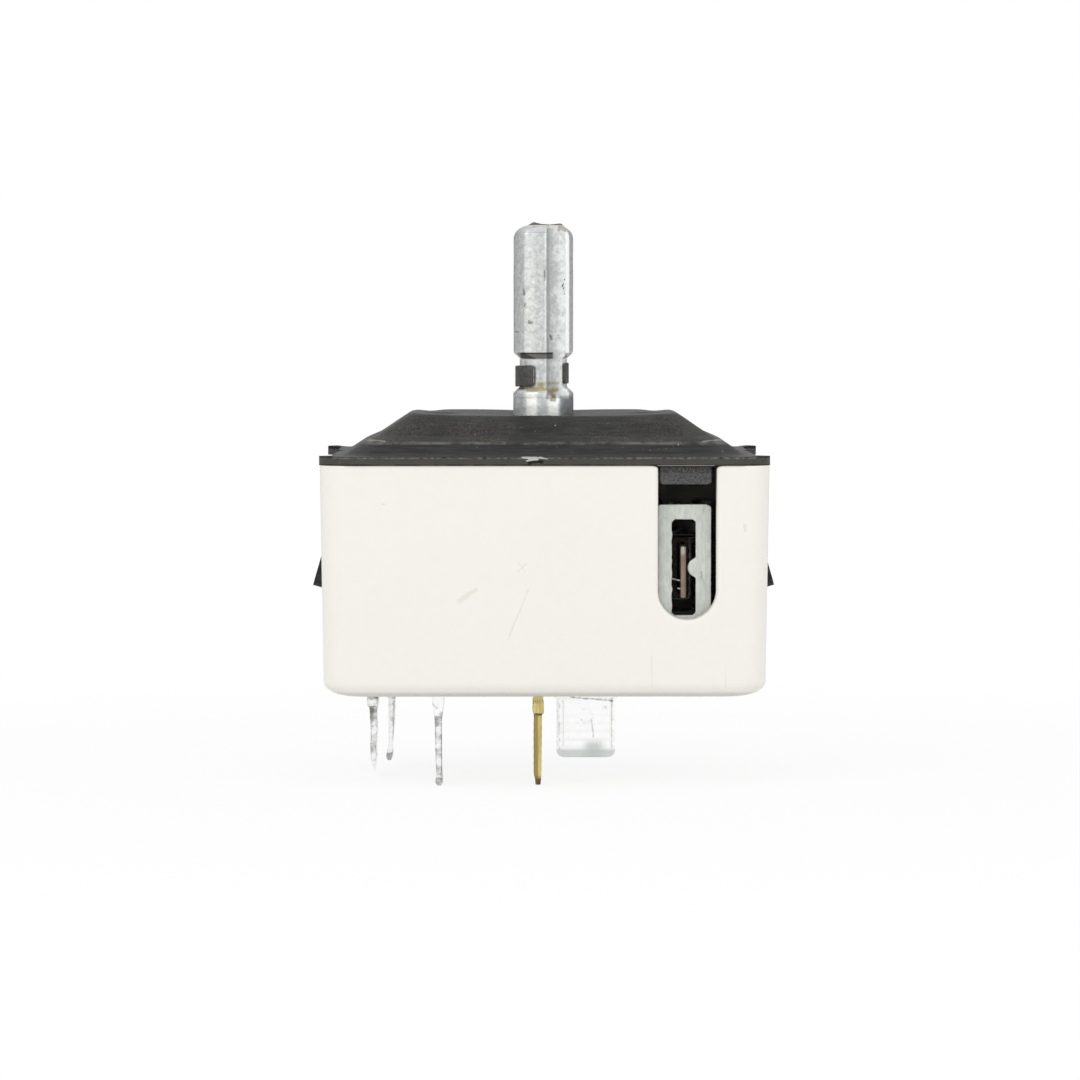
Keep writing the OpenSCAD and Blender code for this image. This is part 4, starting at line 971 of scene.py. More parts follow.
at_flange = at_flange / np.maximum(reach_y, reach_bend)
share = ease((hx - 14) / (BEND_X - 14))[:, None]
side = (1 - share) * (near / flat_y)[None, :] + share * at_flange
side[:, 0], side[:, -1] = -1, 1
slope = rings(hx, hx - PANEL_LESS, corner_radius(hx), slope_height(hx), front, side, (first, second))
x, y, z = np.moveaxis(slope, -1, 0)
dent = 0.035 * np.sin(0.33 * x + 1) * np.sin(0.29 * y) * np.clip(1 - z / FLANGE_Z, 0, 1) * np.clip(-z, 0, 1)
dip = edge_dip(x / hx[:, None], y / (hx[:, None] - PANEL_LESS)) * (1 - ease((hx - PANEL_X) / 2.5))[:, None]
z += dent - dip
z[0] = panel_height(x[0], y[0])
z += 0.15 * ease((y - 12.0) / 2) * ease((np.abs(x) - BEND_X) / 1.2)

n_front, n_side = len(front), len(near)
n_corner = len(first) - 2
right_side = n_front + n_corner
left_side = right_side + n_side + n_corner + n_front + n_corner
leg_from, leg_to = np.flatnonzero(np.isclose(np.abs(near), LEG_CELL))
window_from, window_to = np.flatnonzero(np.isclose(np.abs(near), SCREW_CELL))
bend_row, side_row = (int(np.argmin(np.abs(hx - x_at))) for x_at in (BEND_X, SIDE_X))
i, j = np.indices((len(hx) - 1, slope.shape[1]))
slope_keep = np.ones(i.shape, bool)
for at in (right_side, left_side):
    over_leg, at_side = (j >= at + leg_from) & (j < at + leg_to), (j >= at) & (j < at + n_side - 1)
    slope_keep &= ~(((i >= bend_row) & over_leg) | ((i >= side_row) & at_side))
print("slope rings:", slope.shape[:2], "leg columns:", leg_to - leg_from)


# %% Legs, screw collars and tab
WINDOW_TOP, WINDOW_FOOT = 13, 18


def leg_strip(sign, start):
    """A leg: the slope's side columns carried round a bend, down the wall and out along the flare.
    Beyond the bend x is LEG_X, and below the flare line it grows by 1.15 mm over 4.28 mm. The cells
    between the window's top and foot rows are left out."""
    bend = arc_points(7)
    turn = LEG_X - BEND_X
    down = spaced(FLANGE_Z - turn, (-11.68, 6), (-14.58, 5), (-18.38, 8))[1:]
    x = np.concatenate([BEND_X + turn * np.sin(bend), LEG_X + 1.15 * ease_in((-14.1 - down) / 4.28)])
    z = np.concatenate([FLANGE_Z - turn * (1 - np.cos(bend)), down])
    y = slope[bend_row, start + leg_from:start + leg_to + 1, 1]
    narrow = 1 - 0.16 * fall((-17.4 - z) / 0.98)
    strip = np.stack([sign * x[:, None] + 0 * y, y * narrow[:, None], z[:, None] + 0 * y], -1)
    i, j = np.indices((len(z) - 1, len(y) - 1))
    in_window = (i >= WINDOW_TOP) & (i < WINDOW_FOOT) & (j >= window_from - leg_from) & (j < window_to - leg_from)
    return grid(strip, keep=~in_window)


def ease_in(t):
    """Starts softly, then runs straight to 1 at t = 1."""
    t = np.clip(t, 0, 1)
    return np.where(t < 0.15, t * t / 0.3, t - 0.075) / 0.925


def perimeter(points, i0, i1, j0, j1):
    """The grid points round a block of cells, clockwise seen from above."""
    return np.concatenate([points[i0, j0:j1], points[i0:i1, j1], points[i1, j1:j0:-1], points[i1:i0:-1, j0]])


def screw_collar(sx):
    """The rim of a screw hole, drawn down into a short collar: the ring of points shrinks along an
    arc and then runs straight down."""
    inside_x, inside_y = (np.flatnonzero(np.abs(v) <= SCREW_CELL + 1e-9) for v in (columns - sx * SCREW_X, lines))
    ring = perimeter(panel, inside_x[0], inside_x[-1], inside_y[0], inside_y[-1])
    a = arc_points(4)
    r = np.concatenate([SCREW_CELL - 0.4 * np.sin(a), [SCREW_R, SCREW_R]])
    drop = np.concatenate([0.4 * (1 - np.cos(a)), [1.0, 2.1]])
    centre = np.array([sx * SCREW_X, 0, 0])
    rows = centre + (ring - centre) * (r / SCREW_CELL)[:, None, None]
    rows[..., 2] = ring[None, :, 2] - drop[:, None]
    return grid(rows, wrap_v=True)


TAB_L, TAB_R, TAB_Y, TAB_CORNER = 11.89, 17.2, -17.3, 0.405
gx, gz = np.meshgrid(np.linspace(TAB_L, TAB_R, 15), spaced(-4.8, (-5.4, 2), (-7.0, 6), (-7.2, 2))[::-1], indexing="ij")
edge = np.clip((np.abs(gx - (TAB_L + TAB_R) / 2) - 2.25) / TAB_CORNER, 0, 1)
gz = gz + 0.3 * fall(edge * math.sqrt(0.9)) * np.clip((-5.4 - gz) / 1.8, 0, 1)
tab_y = TAB_Y + 0.05 * np.sin(1.3 * gx) * np.clip((-5.2 - gz) / 2, 0, 1)
tab_grid = grid(np.stack([gx, tab_y, gz], -1))

# %% Cover sheet
skin = [grid(panel, keep=panel_keep), grid(slope, wrap_v=True, keep=slope_keep), leg_strip(1, right_side),
        leg_strip(-1, left_side), screw_collar(-1), screw_collar(1), tab_grid]
cover = build("cover_pressing", skin, "body", "black_paint", "cover", outward=False)
sheet = cover.modifiers.new("sheet", "SOLIDIFY")
sheet.thickness, sheet.offset = SHEET * MM, -1
edges = cover.modifiers.new("edges", "BEVEL")
edges.width, edges.segments, edges.limit_method, edges.angle_limit = 0.14 * MM, 3, "ANGLE", math.radians(50)

# %% [markdown]
# ## Stem
#
# The stem is a zinc casting: round, with a flat on its front, a slot beside the flat and a small rib
# in the slot. Its section is one closed path. Cutting the path off at a circle whose radius changes
# with height gives the groove for the clip, the chamfers and the round end, all from one function.

# %% Section of the stem
FLAT_Y, CUT_FROM, CUT_Y = -2.43, 0.33, -1.2
RIB_FROM, WALL_X, WALL_RUN, WALL_RISE = 0.8, 2.38, 0.34, -0.16


def rib_height(x):
    """The rib rises by 0.38 mm over 1.4 mm and falls back a little before the wall."""
    return 0.38 * ease((x - RIB_FROM) / 1.4) - 0.15 * ease((x - 2.05) / 0.4)


def stem_section(r, bulge=False, soft=0.06):
    """The path round the stem inside a circle of radius r: along the flat, down into the slot, over
    the rib, up the sloping right wall and back round the circle. The wall ends where
    |corner + t slope| = r. Inside a radius of 2 mm the path only shrinks. Where the stem bulges below
    the groove there is no flat: y follows the circle."""
    if r < 2:
        return stem_section(2.0) * r / 2
    corner, slope = np.array([WALL_X, CUT_Y - rib_height(WALL_X)]), np.array([WALL_RUN, WALL_RISE])
    if corner @ corner < r * r:
        b, c = corner @ slope / (slope @ slope), (corner @ corner - r * r) / (slope @ slope)
        top = corner + slope * (math.sqrt(b * b - c) - b)
    else:
        corner = top = np.array([math.sqrt(r * r - CUT_Y**2), CUT_Y])
    flat = np.linspace(-math.sqrt(max(r * r - FLAT_Y**2, 0)), CUT_FROM - soft, 8)
    flat_y = -np.sqrt(r * r - flat**2) if bulge else np.full(8, FLAT_Y)
    down = np.linspace(flat_y[-1] + soft, CUT_Y - soft, 7)
    rib_x = np.linspace(RIB_FROM, WALL_X, 17)
    rib = np.c_[rib_x, CUT_Y - rib_height(rib_x)]
    wall = corner + np.linspace(0, 1, 5)[:, None] * (top - corner)
    path = np.concatenate([np.c_[flat, flat_y], np.c_[np.full(7, CUT_FROM), down],
                           [[CUT_FROM + soft, CUT_Y]], rib[rib_x < corner[0]],
                           np.repeat(corner[None], (rib_x >= corner[0]).sum(), 0), wall])
    away = np.hypot(path[:, 0], path[:, 1])
    path *= np.minimum(1, r / np.maximum(away, 1e-6))[:, None]
    start = math.atan2(path[-1, 1], path[-1, 0]) % (2 * np.pi) - 2 * np.pi
    end = math.atan2(path[0, 1], path[0, 0]) % (2 * np.pi)
    turn = np.linspace(start, end, 62)[1:-1]
    return np.concatenate([path, polar(r, turn)])


def loft(levels, section):
    """A closed solid through sections: a level is what the section needs, then its height."""
    return solid_stack(np.stack([level(section(*size), z) for *size, z in levels]))


def as_cast(points, amount=0.012):
    """Casting skin: three slow waves of about a hundredth of a millimetre move each point along its
    direction from the axis."""
    x, y, z = points.T
    wave = np.sin(1.9 * z + 2 * x) + np.sin(3.1 * y - 1.3 * z + 1) + np.sin(0.8 * z + 4 * x - 2)
    grow = 1 + amount / 3 * wave / np.maximum(np.hypot(x, y), 0.5)
    return np.c_[x * grow, y * grow, z]


# %% Top of the stem
TOP, BEVEL_FROM = 19.7, 18.93
GATE_X = [-1.6, -1.3, -1.02, -0.75, -0.2, 0.67, 1.3, 1.9, 2.24, 2.42]
GATE_RISE = [0, 0.25, 0.38, 0.3, 0.17, 0.1, 0.17, 0.24, 0.28, 0]


def rough_top(points):
    """The flat leans back above the bevel line, y = flat + 0.6 (z - line), and the torn gate stands on
    the top as a low ridge: its height follows x and falls off with y as a bell curve."""
    out = points.copy()
    x, y, z = points.T
    out[:, 1] = np.where(z > BEVEL_FROM, np.maximum(y, FLAT_Y + 0.6 * (z - BEVEL_FROM)), y)
    bell = np.exp(-(((y + 0.7) / 0.75) ** 2))
    out[:, 2] += np.where(z > TOP - 0.1, np.interp(x, GATE_X, GATE_RISE) * bell, 0)
    return out


# %% Stem, collar and drive
def rounded_edge(r, z, size, up):
    """Profile points of a rounded shoulder between a flat at height z and a wall of radius r."""
    a = arc_points(3)
    return [(r - size * (1 - math.sin(t)), z - up * size * (1 - math.cos(t))) for t in a]


stem_levels = [(3.21, True, z) for z in (1.3, 1.5, 1.85)]
stem_levels += [(3.14, True, 2.0), (2.78, True, 2.36), (2.62, 2.44), (2.53, 2.6)]
stem_levels += [(2.52, z) for z in (3.2, 4.2, 5.2, 5.5)] + [(2.56, 5.62), (2.66, 5.72), (3.12, 6.14), (3.165, 6.28)]
stem_levels += [(3.17, z) for z in np.linspace(6.5, 18.15, 34)]
stem_levels += [(3.165, 18.35), (3.12, 18.62), (3.0, 18.9), (2.9, 19.03), (2.82, 19.14), (2.58, 19.36), (2.3, 19.54),
                (2.0, 19.66)] + [(r, TOP) for r in (1.8, 1.55, 1.3, 1.05, 0.8, 0.55, 0.3, 0.04)]
stem = loft(stem_levels, stem_section)
stem = [(rough_top(as_cast(points)), faces) for points, faces in stem]
collar = [(0.02, 1.37), (2.9, 1.37), *rounded_edge(3.212, 1.37, 0.08, 1), (3.212, 0.2), (3.212, -0.9), (3.3, -1.0),
          *rounded_edge(4.7, -1.0, 0.2, 1), *rounded_edge(4.7, -2.4, 0.2, -1)[::-1], (3.2, -2.4),
          (2.95, -2.5), (2.9, -2.8), (0.02, -2.8)]
drive_levels = [(2.9, -2.5), (2.9, -18.2), (2.8, -18.42), (2.6, -18.48), (1.9, -18.48)]


def drive_section(r):
    """A circle with two flats, 4.4 mm across."""
    x, y = polar(r, np.linspace(0, 2 * np.pi, 96, endpoint=False)).T
    return np.c_[x, np.clip(y, -2.2, 2.2)]


pilot = [(0.02, -18.2), (1.6, -18.3), (1.6, -24.6), (1.5, -24.85), (1.3, -24.96), (0.02, -24.98)]
build("cast_stem", [*stem, *solid_stack(spin(collar)), *loft(drive_levels, drive_section),
                    *solid_stack(spin(pilot, steps=48))], "shaft", "zinc_casting", "shaft", crease=math.radians(34))

# %% [markdown]
# ## Knob clip
#
# An open ring of spring strip sits in the groove and grips the knob. It is a rounded rectangle
# carried round an arc of about 290 degrees, with its ends narrowed so that they don't look sawn off.

# %% Knob clip
def clip_ring(inner_r, outer_r, low, high, start, end, steps=60, soft=0.1):
    """A strip carried round an arc: the section is a rounded rectangle in radius and height. The ring
    sits a little askew: z grows by 0.06 x."""
    mid_r, half_r = (inner_r + outer_r) / 2, (outer_r - inner_r) / 2
    mid_z, half_z = (low + high) / 2, (high - low) / 2
    section = rings([half_r], half_z, soft, 0, side=np.linspace(-1, 1, 5))[0]
    angle = np.radians(np.linspace(start, end, steps))[:, None]
    share = np.linspace(0, 1, steps)[:, None]
    tight = 1 - 0.22 * fall(1 - np.minimum(share, 1 - share) / 0.03)
    wave = 1 + 0.012 * np.sin(5 * angle)
    r = mid_r + section[None, :, 0] * tight * 0.96
    z = mid_z + section[None, :, 1] * tight * wave * 0.98
    return np.stack([r * np.cos(angle), r * np.sin(angle), z + 0.06 * r * np.cos(angle)], -1)


build("grip_clip", solid_stack(clip_ring(2.55, 2.86, 2.72, 4.98, -35, 252) - [0.14, 0, 0]), "shaft",
      "dark_spring_steel", "knob_clip")

# %% [markdown]
# ## Plate behind the slot
#
# The plate is blanked from galvanised sheet: a leg with a window for the blade, a half-round nib that
# the blade pushes on, and a bar that reaches across to the contact arm. Its outline and windows are
# flat closed curves. Blender fills a 2-D curve and rounds its edges, and the result becomes a mesh.

# %% Outlines with rounded corners
def rounded_outline(corners, radius):
    """Replaces each corner of a polygon by a short arc, drawn as a quadratic blend of three points:
    the corner pulled back along both edges, and the corner itself."""
    c = np.asarray(corners, float)
    back, ahead = np.roll(c, 1, 0) - c, np.roll(c, -1, 0) - c
    reach = np.minimum(radius, 0.45 * np.minimum(np.linalg.norm(back, axis=1), np.linalg.norm(ahead, axis=1)))
    a = c + back / np.linalg.norm(back, axis=1)[:, None] * reach[:, None]
    b = c + ahead / np.linalg.norm(ahead, axis=1)[:, None] * reach[:, None]
    t = np.linspace(0, 1, 6)[None, :, None]
    return ((1 - t) ** 2 * a[:, None] + 2 * t * (1 - t) * c[:, None] + t**2 * b[:, None]).reshape(-1, 2)


def places(mesh):
    """A mesh's points as rows of x, y and z."""
    flat = np.empty(len(mesh.vertices) * 3)
    mesh.vertices.foreach_get("co", flat)
    return flat.reshape(-1, 3)


def blank(outlines, y_mid, thickness, bevel):
    """Points and faces of a sheet part: closed outlines in x and z, filled, given a thickness along y
    and rounded edges."""
    data = bpy.data.curves.new("blank", "CURVE")
    data.dimensions, data.fill_mode = "2D", "BOTH"
    data.extrude, data.bevel_depth, data.bevel_resolution, data.offset = thickness / 2 - bevel, bevel, 2, -bevel
    for outline in outlines:
        spline = data.splines.new("POLY")
        spline.points.add(len(outline) - 1)
        spline.points.foreach_set("co", np.c_[level(outline, 0), np.ones(len(outline))].ravel())
        spline.use_cyclic_u = True
    holder = bpy.data.objects.new("blank", data)
    mesh = bpy.data.meshes.new_from_object(holder)
    flat = places(mesh)
    faces = [list(p.vertices) for p in mesh.polygons]
    bpy.data.objects.remove(holder)
    bpy.data.meshes.remove(mesh)
    bpy.data.curves.remove(data)
    return np.c_[flat[:, 0], y_mid - flat[:, 2], flat[:, 1]], faces


# %% Actuator plate
PLATE_L, PLATE_R, PLATE_TOP, PLATE_FOOT = 11.75, 17.27, -9.35, -25.98
NIB_X, NIB_Z, NIB_R = 15.83, -15.94, 1.0
BAR_END, BAR_TOP, BAR_FOOT = -10.4, -19.38, -24.38
body_outline = rounded_outline([
    (PLATE_L, PLATE_FOOT), (PLATE_R, PLATE_FOOT), (PLATE_R, -9.62), (17.1, -9.5), (16.92, -9.46), (16.8, PLATE_TOP),
    (14.2, PLATE_TOP - 0.01), (12.05, PLATE_TOP - 0.03), (11.86, -9.42), (PLATE_L, -9.6), (PLATE_L, BAR_TOP),
    (BAR_END, BAR_TOP), (BAR_END, BAR_FOOT), (PLATE_L, BAR_FOOT)], 0.3)
nib = polar(NIB_R, np.radians(np.linspace(130, 230, 13)), (NIB_X, NIB_Z))
left_z = np.linspace(-20.6, -11.2, 24)
ragged = 13.2 + 0.05 * np.sin(5.1 * left_z) * np.sin(1.7 * left_z + 1) + 0.03 * np.sin(11 * left_z)
window = np.concatenate([[(15.4, -10.93), (15.67, -11.2), (15.67, -14.78), (15.64, -14.9)], nib,
                         [(15.64, -16.98), (15.67, -17.1), (15.67, -20.6), (15.4, -20.88), (13.5, -20.9)],
                         np.c_[ragged, left_z], [(13.5, -10.9)]])
hook_window = rounded_outline([(-8.97, -23.03), (-7.27, -23.03), (-7.27, -20.73), (-8.97, -20.73)], 0.3)
build("slotted_plate", [blank([body_outline, window, hook_window], -14.8, 0.8, 0.07)], "actuator",
      "galvanised_steel", "actuator_plate", outward=False)

# %% [markdown]
# ## Blade, heater and springs
#
# The blade is a strip of two bonded metals that bends as it warms. Resistance wire is wound round it
# over a wrap. All wires here are one helper, a circle carried along a path, and only the paths differ:
# rounded loops that step along the blade, and plain coils with flat end turns.

# %% Blade and heater winding
BLADE_X, BLADE_Z = 14.4, -16.39
BLADE_HALF = 2.675
strip = soft_block((14.09, -15.6, BLADE_Z - BLADE_HALF), (14.66, 12.4, BLADE_Z + BLADE_HALF), 0.14, 0.1)
build("strip_blade", strip, "lever", "bimetal_strip", "bimetal_blade")
loop = rings([1.04], 3.405, 0.5, 0, np.linspace(-1, 1, 3), np.linspace(-1, 1, 7), 2 * [arc_points(4)])[0, :, :2]
loop = np.roll(loop, -np.argmin(loop[:, 0] * 10 + np.abs(loop[:, 1])), 0)
turns = np.concatenate([np.tile(loop, (8, 1)), loop[:1]])
coil = np.c_[BLADE_X + turns[:, 0], np.linspace(-5, 5.6, len(turns)), BLADE_Z + turns[:, 1]]
lead = smooth_path([(14.1, -14.75, -17.3), (13.8, -14.48, -17.25), (13.5, -14.15, -17.18), (13.15, -13.95, -17.03),
                    (13.05, -12.3, -16.4), (13.25, -10.5, -15.4), (13.36, -8.0, -15.9), (13.36, -6.2, -16.2),
                    coil[0]], 70)
tail = smooth_path([coil[-1], (13.38, 6.3, -15.6), (13.5, 7.0, -14.2)], 14)
stub = np.linspace((14.2, -14.9, -18.2), (13.8, -14.95, -18.06), 6)
thin = np.interp(np.arange(len(lead) + len(coil) + len(tail) - 2), [0, 30, 45], [0.075, 0.09, 0.16])[:, None, None]
build("resistance_wire", wire(np.concatenate([lead[:-1], coil, tail[1:]]), thin, up=(0, 1, 0.02))
      + wire(stub, 0.075), "lever", "heater_wire", "heater_winding")


# %% Coil springs
def coil_path(centre, radius, low, high, turns, start=0.0, flat_turns=0.8, per_turn=40):
    """A coil whose height follows the angle, with nearly flat end turns."""
    a = np.linspace(0, turns, int(turns * per_turn) + 1)
    slope = np.clip(np.minimum(a, turns - a) / flat_turns, 0.15, 1)
    rise = np.concatenate([[0], np.cumsum((slope[1:] + slope[:-1]) / 2)])
    z = low + (high - low) * rise / rise[-1]
    return np.c_[polar(radius, 2 * np.pi * a + start, centre), z]


lift = build("lift_spring", wire(coil_path((0, 0), 3.75, -7.65, -2.75, 4.5), 0.3, sides=12), "cam",
             "spring_steel", "return_spring")
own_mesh(lift)
BIAS_LOW, BIAS_HIGH = -20.36, -12.815
bias_path = np.concatenate([np.linspace((20.93, -8.55, BIAS_LOW), (17.4, -8.55, BIAS_LOW), 12),
                            coil_path((17.2, -10.0), 1.45, BIAS_LOW, BIAS_HIGH, 6, math.pi / 2, 0.3),
                            np.linspace((17.0, -8.55, BIAS_HIGH), (12.84, -8.55, BIAS_HIGH), 12)])
build("bias_spring", wire(bias_path, 0.22), "lever", "spring_steel", "lever_spring", FINISHES["oiled_steel"])


# %% Line contact leaf
def ribbon(path, thickness, low, high, soft=0.06):
    """A strip standing on edge: the path in x and y is its middle line, and its section is a rounded
    rectangle of the given thickness and height."""
    path = np.asarray(path, float)
    along = np.gradient(path, axis=0)
    along /= np.linalg.norm(along, axis=1, keepdims=True)
    side = np.c_[-along[:, 1], along[:, 0]]
    section = rings([thickness / 2], (high - low) / 2, soft, 0, side=np.linspace(-1, 1, 4),
                    arcs=2 * [arc_points(3)])[0]
    xy = path[:, None, :] + section[None, :, :1] * side[:, None, :]
    z = (low + high) / 2 + section[None, :, 1] * np.ones((len(path), 1))
    return solid_stack(np.concatenate([xy, z[..., None]], -1))


leaf_path = np.concatenate([np.linspace((-16.75, 9.925), (-1.75, 9.925), 24),
                            polar(1.525, np.radians(np.linspace(156, 384, 30)), (0, 9.3)),
                            np.linspace((1.75, 9.925), (6.8, 9.925), 12)])
leaf = build("line_leaf", ribbon(leaf_path, 0.34, -21.88, -19.48), "body", "contact_copper", "line_arm")
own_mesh(leaf)

# %% [markdown]
# ## Push-on tabs
#
# Five tabs come out of the base: four are seen edge-on and one faces the camera. Each is blanked from
# sheet, with a thicker collar at the housing, a latch dimple and a thinned tip, and years of plugging
# have left them bent and blotched. The tab that faces the camera also has painted shade round its
# dimple and along the edges of its face. A stack of rounded rectangles whose thickness and sideways
# shift follow the height gives both the collar and the bends.

# %% Tab shape
TAB_BASE = -29.68
DIMPLE_Z = TAB_BASE - 3.3
TAB_HALF, TAB_EDGE = 3.175, 0.12


def tab_blade(at, steps, facing=False, tip_round=0.0, rails=0.0, press=0.25):
    """A tab below the base. steps are (distance below the base, half thickness, sideways shift), read
    between by straight lines, and the last one is at the tip. The wide face has a round latch dimple:
    its depth falls from press to 0 across the dimple's edge."""
    d, half, shift = np.array(steps, float).T
    length = d[-1]
    down = np.unique(np.concatenate([np.linspace(-0.6, length - 1.2, 60), d,
                                     length - np.array([1.2, 1.0, 0.8, 0.6, 0.42, 0.28, 0.16, 0.07, 0.02, 0.0])]))
    thick, move = np.interp(down, d, half), np.interp(down, d, shift)
    left_over = length - down
    wide = TAB_HALF + 0.2 * np.clip((1.45 - down) / 0.1, 0, 1)
    if tip_round:
        wide = wide - tip_round * fall(1 - left_over / tip_round)
    else:
        wide = wide - 0.9 * np.clip(1 - left_over / 1.1, 0, 1)
    end = TAB_EDGE * fall(1 - left_over / TAB_EDGE)
    wide, thick = wide - end, np.maximum(thick - end, 0.05)
    thick = thick * (1 + 0.03 * np.sin(7.3 * down + at[0]) * (down > 1.6))
    columns = spaced(-1, (-0.86, 4), (-0.74, 3), (-0.32, 3), (0.32, 12), (0.74, 3), (0.86, 3), (1, 4))
    stack = rings(wide, thick, np.minimum(0.13, 0.45 * thick), TAB_BASE - down, columns, arcs=2 * [arc_points(3)])
    x, y, z = np.moveaxis(stack, -1, 0)
    dimple = press * (1 - ease((np.hypot(x, z - DIMPLE_Z) - 0.5) / 0.3))
    rail = rails * np.exp(-((np.abs(x) - 2.62) / 0.1) ** 2) * ease((TAB_BASE - z - 1.5) / 0.4)
    y = y + np.where(y < -0.5 * thick[:, None], dimple + rail, 0)
    across, along = (x, y + move[:, None]) if facing else (move[:, None] - y, x)
    return solid_stack(np.stack([at[0] + across, at[1] + along, z], -1))


def terminal(mark, slot, at, steps, folds, darkening, **options):
    """A tab with its folded strips inside the housing, which are blocks between pairs of corners. The
    darkening is a function of x, y and z, and its value is stored on every point: stains and soot, and
    on the tab that faces the camera also painted shade."""
    parts = tab_blade(at, steps, **options)
    for lo, hi in folds:
        parts += soft_block(lo, hi, 0.1, 0.08)
    mesh = build(f"tab_{mark}", parts, "body", slot, f"terminal_{mark}").data
    layer = mesh.attributes.new("darkening", "FLOAT", "POINT")
    layer.data.foreach_set("value", np.clip(darkening(*(places(mesh) / MM).T), 0, 1).astype(np.float32))


def band(value, low, high, soft):
    """1 between low and high, fading over a soft distance on both sides."""
    return ease((value - low) / soft + 1) * ease((high - value) / soft + 1)


# %% Four tabs seen edge-on
IN_FOOT, FOLD_FOOT, FOLD_TOP, ARM_FOOT = -29.9, -27.0, -26.38, -22.48
BACK_TOP = -18.98
terminal("l1", "brass", (-0.66, -12.5),
         [(-0.3, 0.5, 0), (0.25, 0.5, 0), (0.3, 0.56, 0), (1.3, 0.58, 0), (1.4, 0.5, 0), (1.5, 0.41, -0.02),
          (4, 0.41, -0.05), (7.9, 0.38, -0.07), (8.05, 0.33, -0.05), (8.15, 0.33, -0.03), (8.9, 0.26, -0.03)],
         [((-1.06, -14.7, IN_FOOT), (-0.26, -10.3, FOLD_FOOT)), ((-9.37, -14.1, FLOOR), (-0.26, -10.7, FOLD_TOP)),
          ((-9.37, -14.1, FLOOR), (-8.57, -10.7, -24.13)), ((-8.1, -13.5, FLOOR), (-7.5, -11.1, -25.63))],
         lambda x, y, z: 0.9 * band(z, -31.25, -31.1, 0.12) + 0.55 * band(x, -2, -0.92, 0.06) * band(z, -38, -31.3, 0.3)
         + 0.8 * band(z, -60, -37.95, 0.15) + 0.35 * band(z, -30.0, -29.6, 0.1))
terminal("h1", "tinned_steel", (-11.05, -12.3),
         [(-0.3, 0.6, 0), (0.2, 0.63, 0), (0.5, 0.6, 0), (0.9, 0.46, 0.02), (1.35, 0.5, 0), (1.45, 0.44, 0),
          (2.2, 0.36, -0.02), (4, 0.34, 0.02), (6.5, 0.32, 0.06), (8.0, 0.3, 0.1), (8.2, 0.36, 0.08),
          (8.6, 0.37, 0.06), (9.0, 0.25, 0.08)],
         [((-11.45, -14.5, IN_FOOT), (-10.65, -10.1, FOLD_FOOT)), ((-11.45, -14.1, FLOOR), (-10.65, -10.5, -11.4))],
         lambda x, y, z: 0.42 * band(z + x + 11.05, -30.85, -30.5, 0.15)
         + (0.12 + (y < -15.1) * (0.24 + 0.15 * np.sin(3.7 * z) + 0.3 * (np.abs(x + 11.03) > 0.25)))
         * band(z, -60, -31.4, 0.3) + 0.4 * band(z, -60, -37.8, 0.15))
terminal("p", "tinned_steel", (-18.1, -2.8),
         [(-0.3, 0.5, 0), (0.1, 0.6, 0), (1.3, 0.6, 0.02), (1.42, 0.5, 0.03), (1.52, 0.38, 0.05), (3.0, 0.34, 0.1),
          (4.4, 0.33, 0.14), (5.8, 0.31, 0.07), (7.0, 0.27, 0.09), (7.8, 0.16, 0.15), (8.4, 0.07, 0.2)],
         [((-18.5, -5.0, IN_FOOT), (-17.7, -0.6, BACK_TOP)), ((-18.5, -2.8, ARM_FOOT), (-17.7, 13.2, BACK_TOP)),
          ((-18.5, 12.4, ARM_FOOT), (-2.5, 13.2, BACK_TOP))],
         lambda x, y, z: 0.3 * band(z, -31.7, -31.15, 0.2)
         + (0.12 + (y < -5.6) * (0.2 + 0.1 * np.sin(2.1 * z))) * band(z, -60, -28, 0.4)
         + 0.3 * (x < -18.2) * (y < -5.6) * band(z, -36.5, -31.3, 0.4) + 0.3 * band(z, -30.3, -29.3, 0.2))
terminal("l2", "tinned_steel", (-16.35, 7.2),
         [(-0.3, 0.5, 0), (0.9, 0.5, 0.02), (1.4, 0.42, 0.04), (1.6, 0.38, 0.05), (4.0, 0.33, 0.02),
          (6.2, 0.24, -0.06), (7.1, 0.21, -0.12), (7.3, 0.31, -0.18), (7.7, 0.33, -0.2), (8.1, 0.2, -0.22)],
         [((-16.75, 5.0, IN_FOOT), (-15.95, 9.75, BACK_TOP)), ((-16.75, 8.95, ARM_FOOT), (-13.0, 9.75, BACK_TOP))],
         lambda x, y, z: 0.6 * band(z, -60, -36.95, 0.12)
         + (0.12 + 0.3 * (x > -16.15) * (y < 4.3)) * band(z, -36.9, -28, 0.2))


# %% Tab that faces the camera
terminal("h2", "tinned_steel", (4.62, 5.0),
         [(-0.3, 0.6, 0), (1.3, 0.6, 0), (1.45, 0.42, 0), (1.6, 0.4, 0), (6.8, 0.38, 0), (7.8, 0.24, 0)],
         [((2.42, 4.6, IN_FOOT), (6.82, 5.4, FOLD_FOOT)), ((2.52, 4.6, FLOOR), (7.72, 13.2, FOLD_TOP)),
          ((2.52, 12.4, FLOOR), (7.72, 13.2, BACK_TOP))],
         lambda x, y, z: 0.16 * band(z, -60, -37.0, 0.4)
         + 0.6 * np.exp(-(((x - 6.7) / 0.22) ** 2 + ((z + 32.0) / 0.5) ** 2))
         + 0.62 * band(z + 0.086 * (x - 3.36), -31.05, -30.92, 0.05) * band(x, 3.1, 7.5, 0.1)
         # painted shade along the edges of the face
         + 0.36 * np.exp(-((np.abs(x - 4.62) - 2.85) / 0.12) ** 2) * band(z, -36.6, -31.2, 0.2)
         # painted shade round the dimple's edge
         + 0.2 * band(np.hypot(x - 4.62, z - DIMPLE_Z), 0.68, 0.8, 0.1) * (y < 5),
         facing=True, tip_round=0.85, rails=0.07, press=0.04)

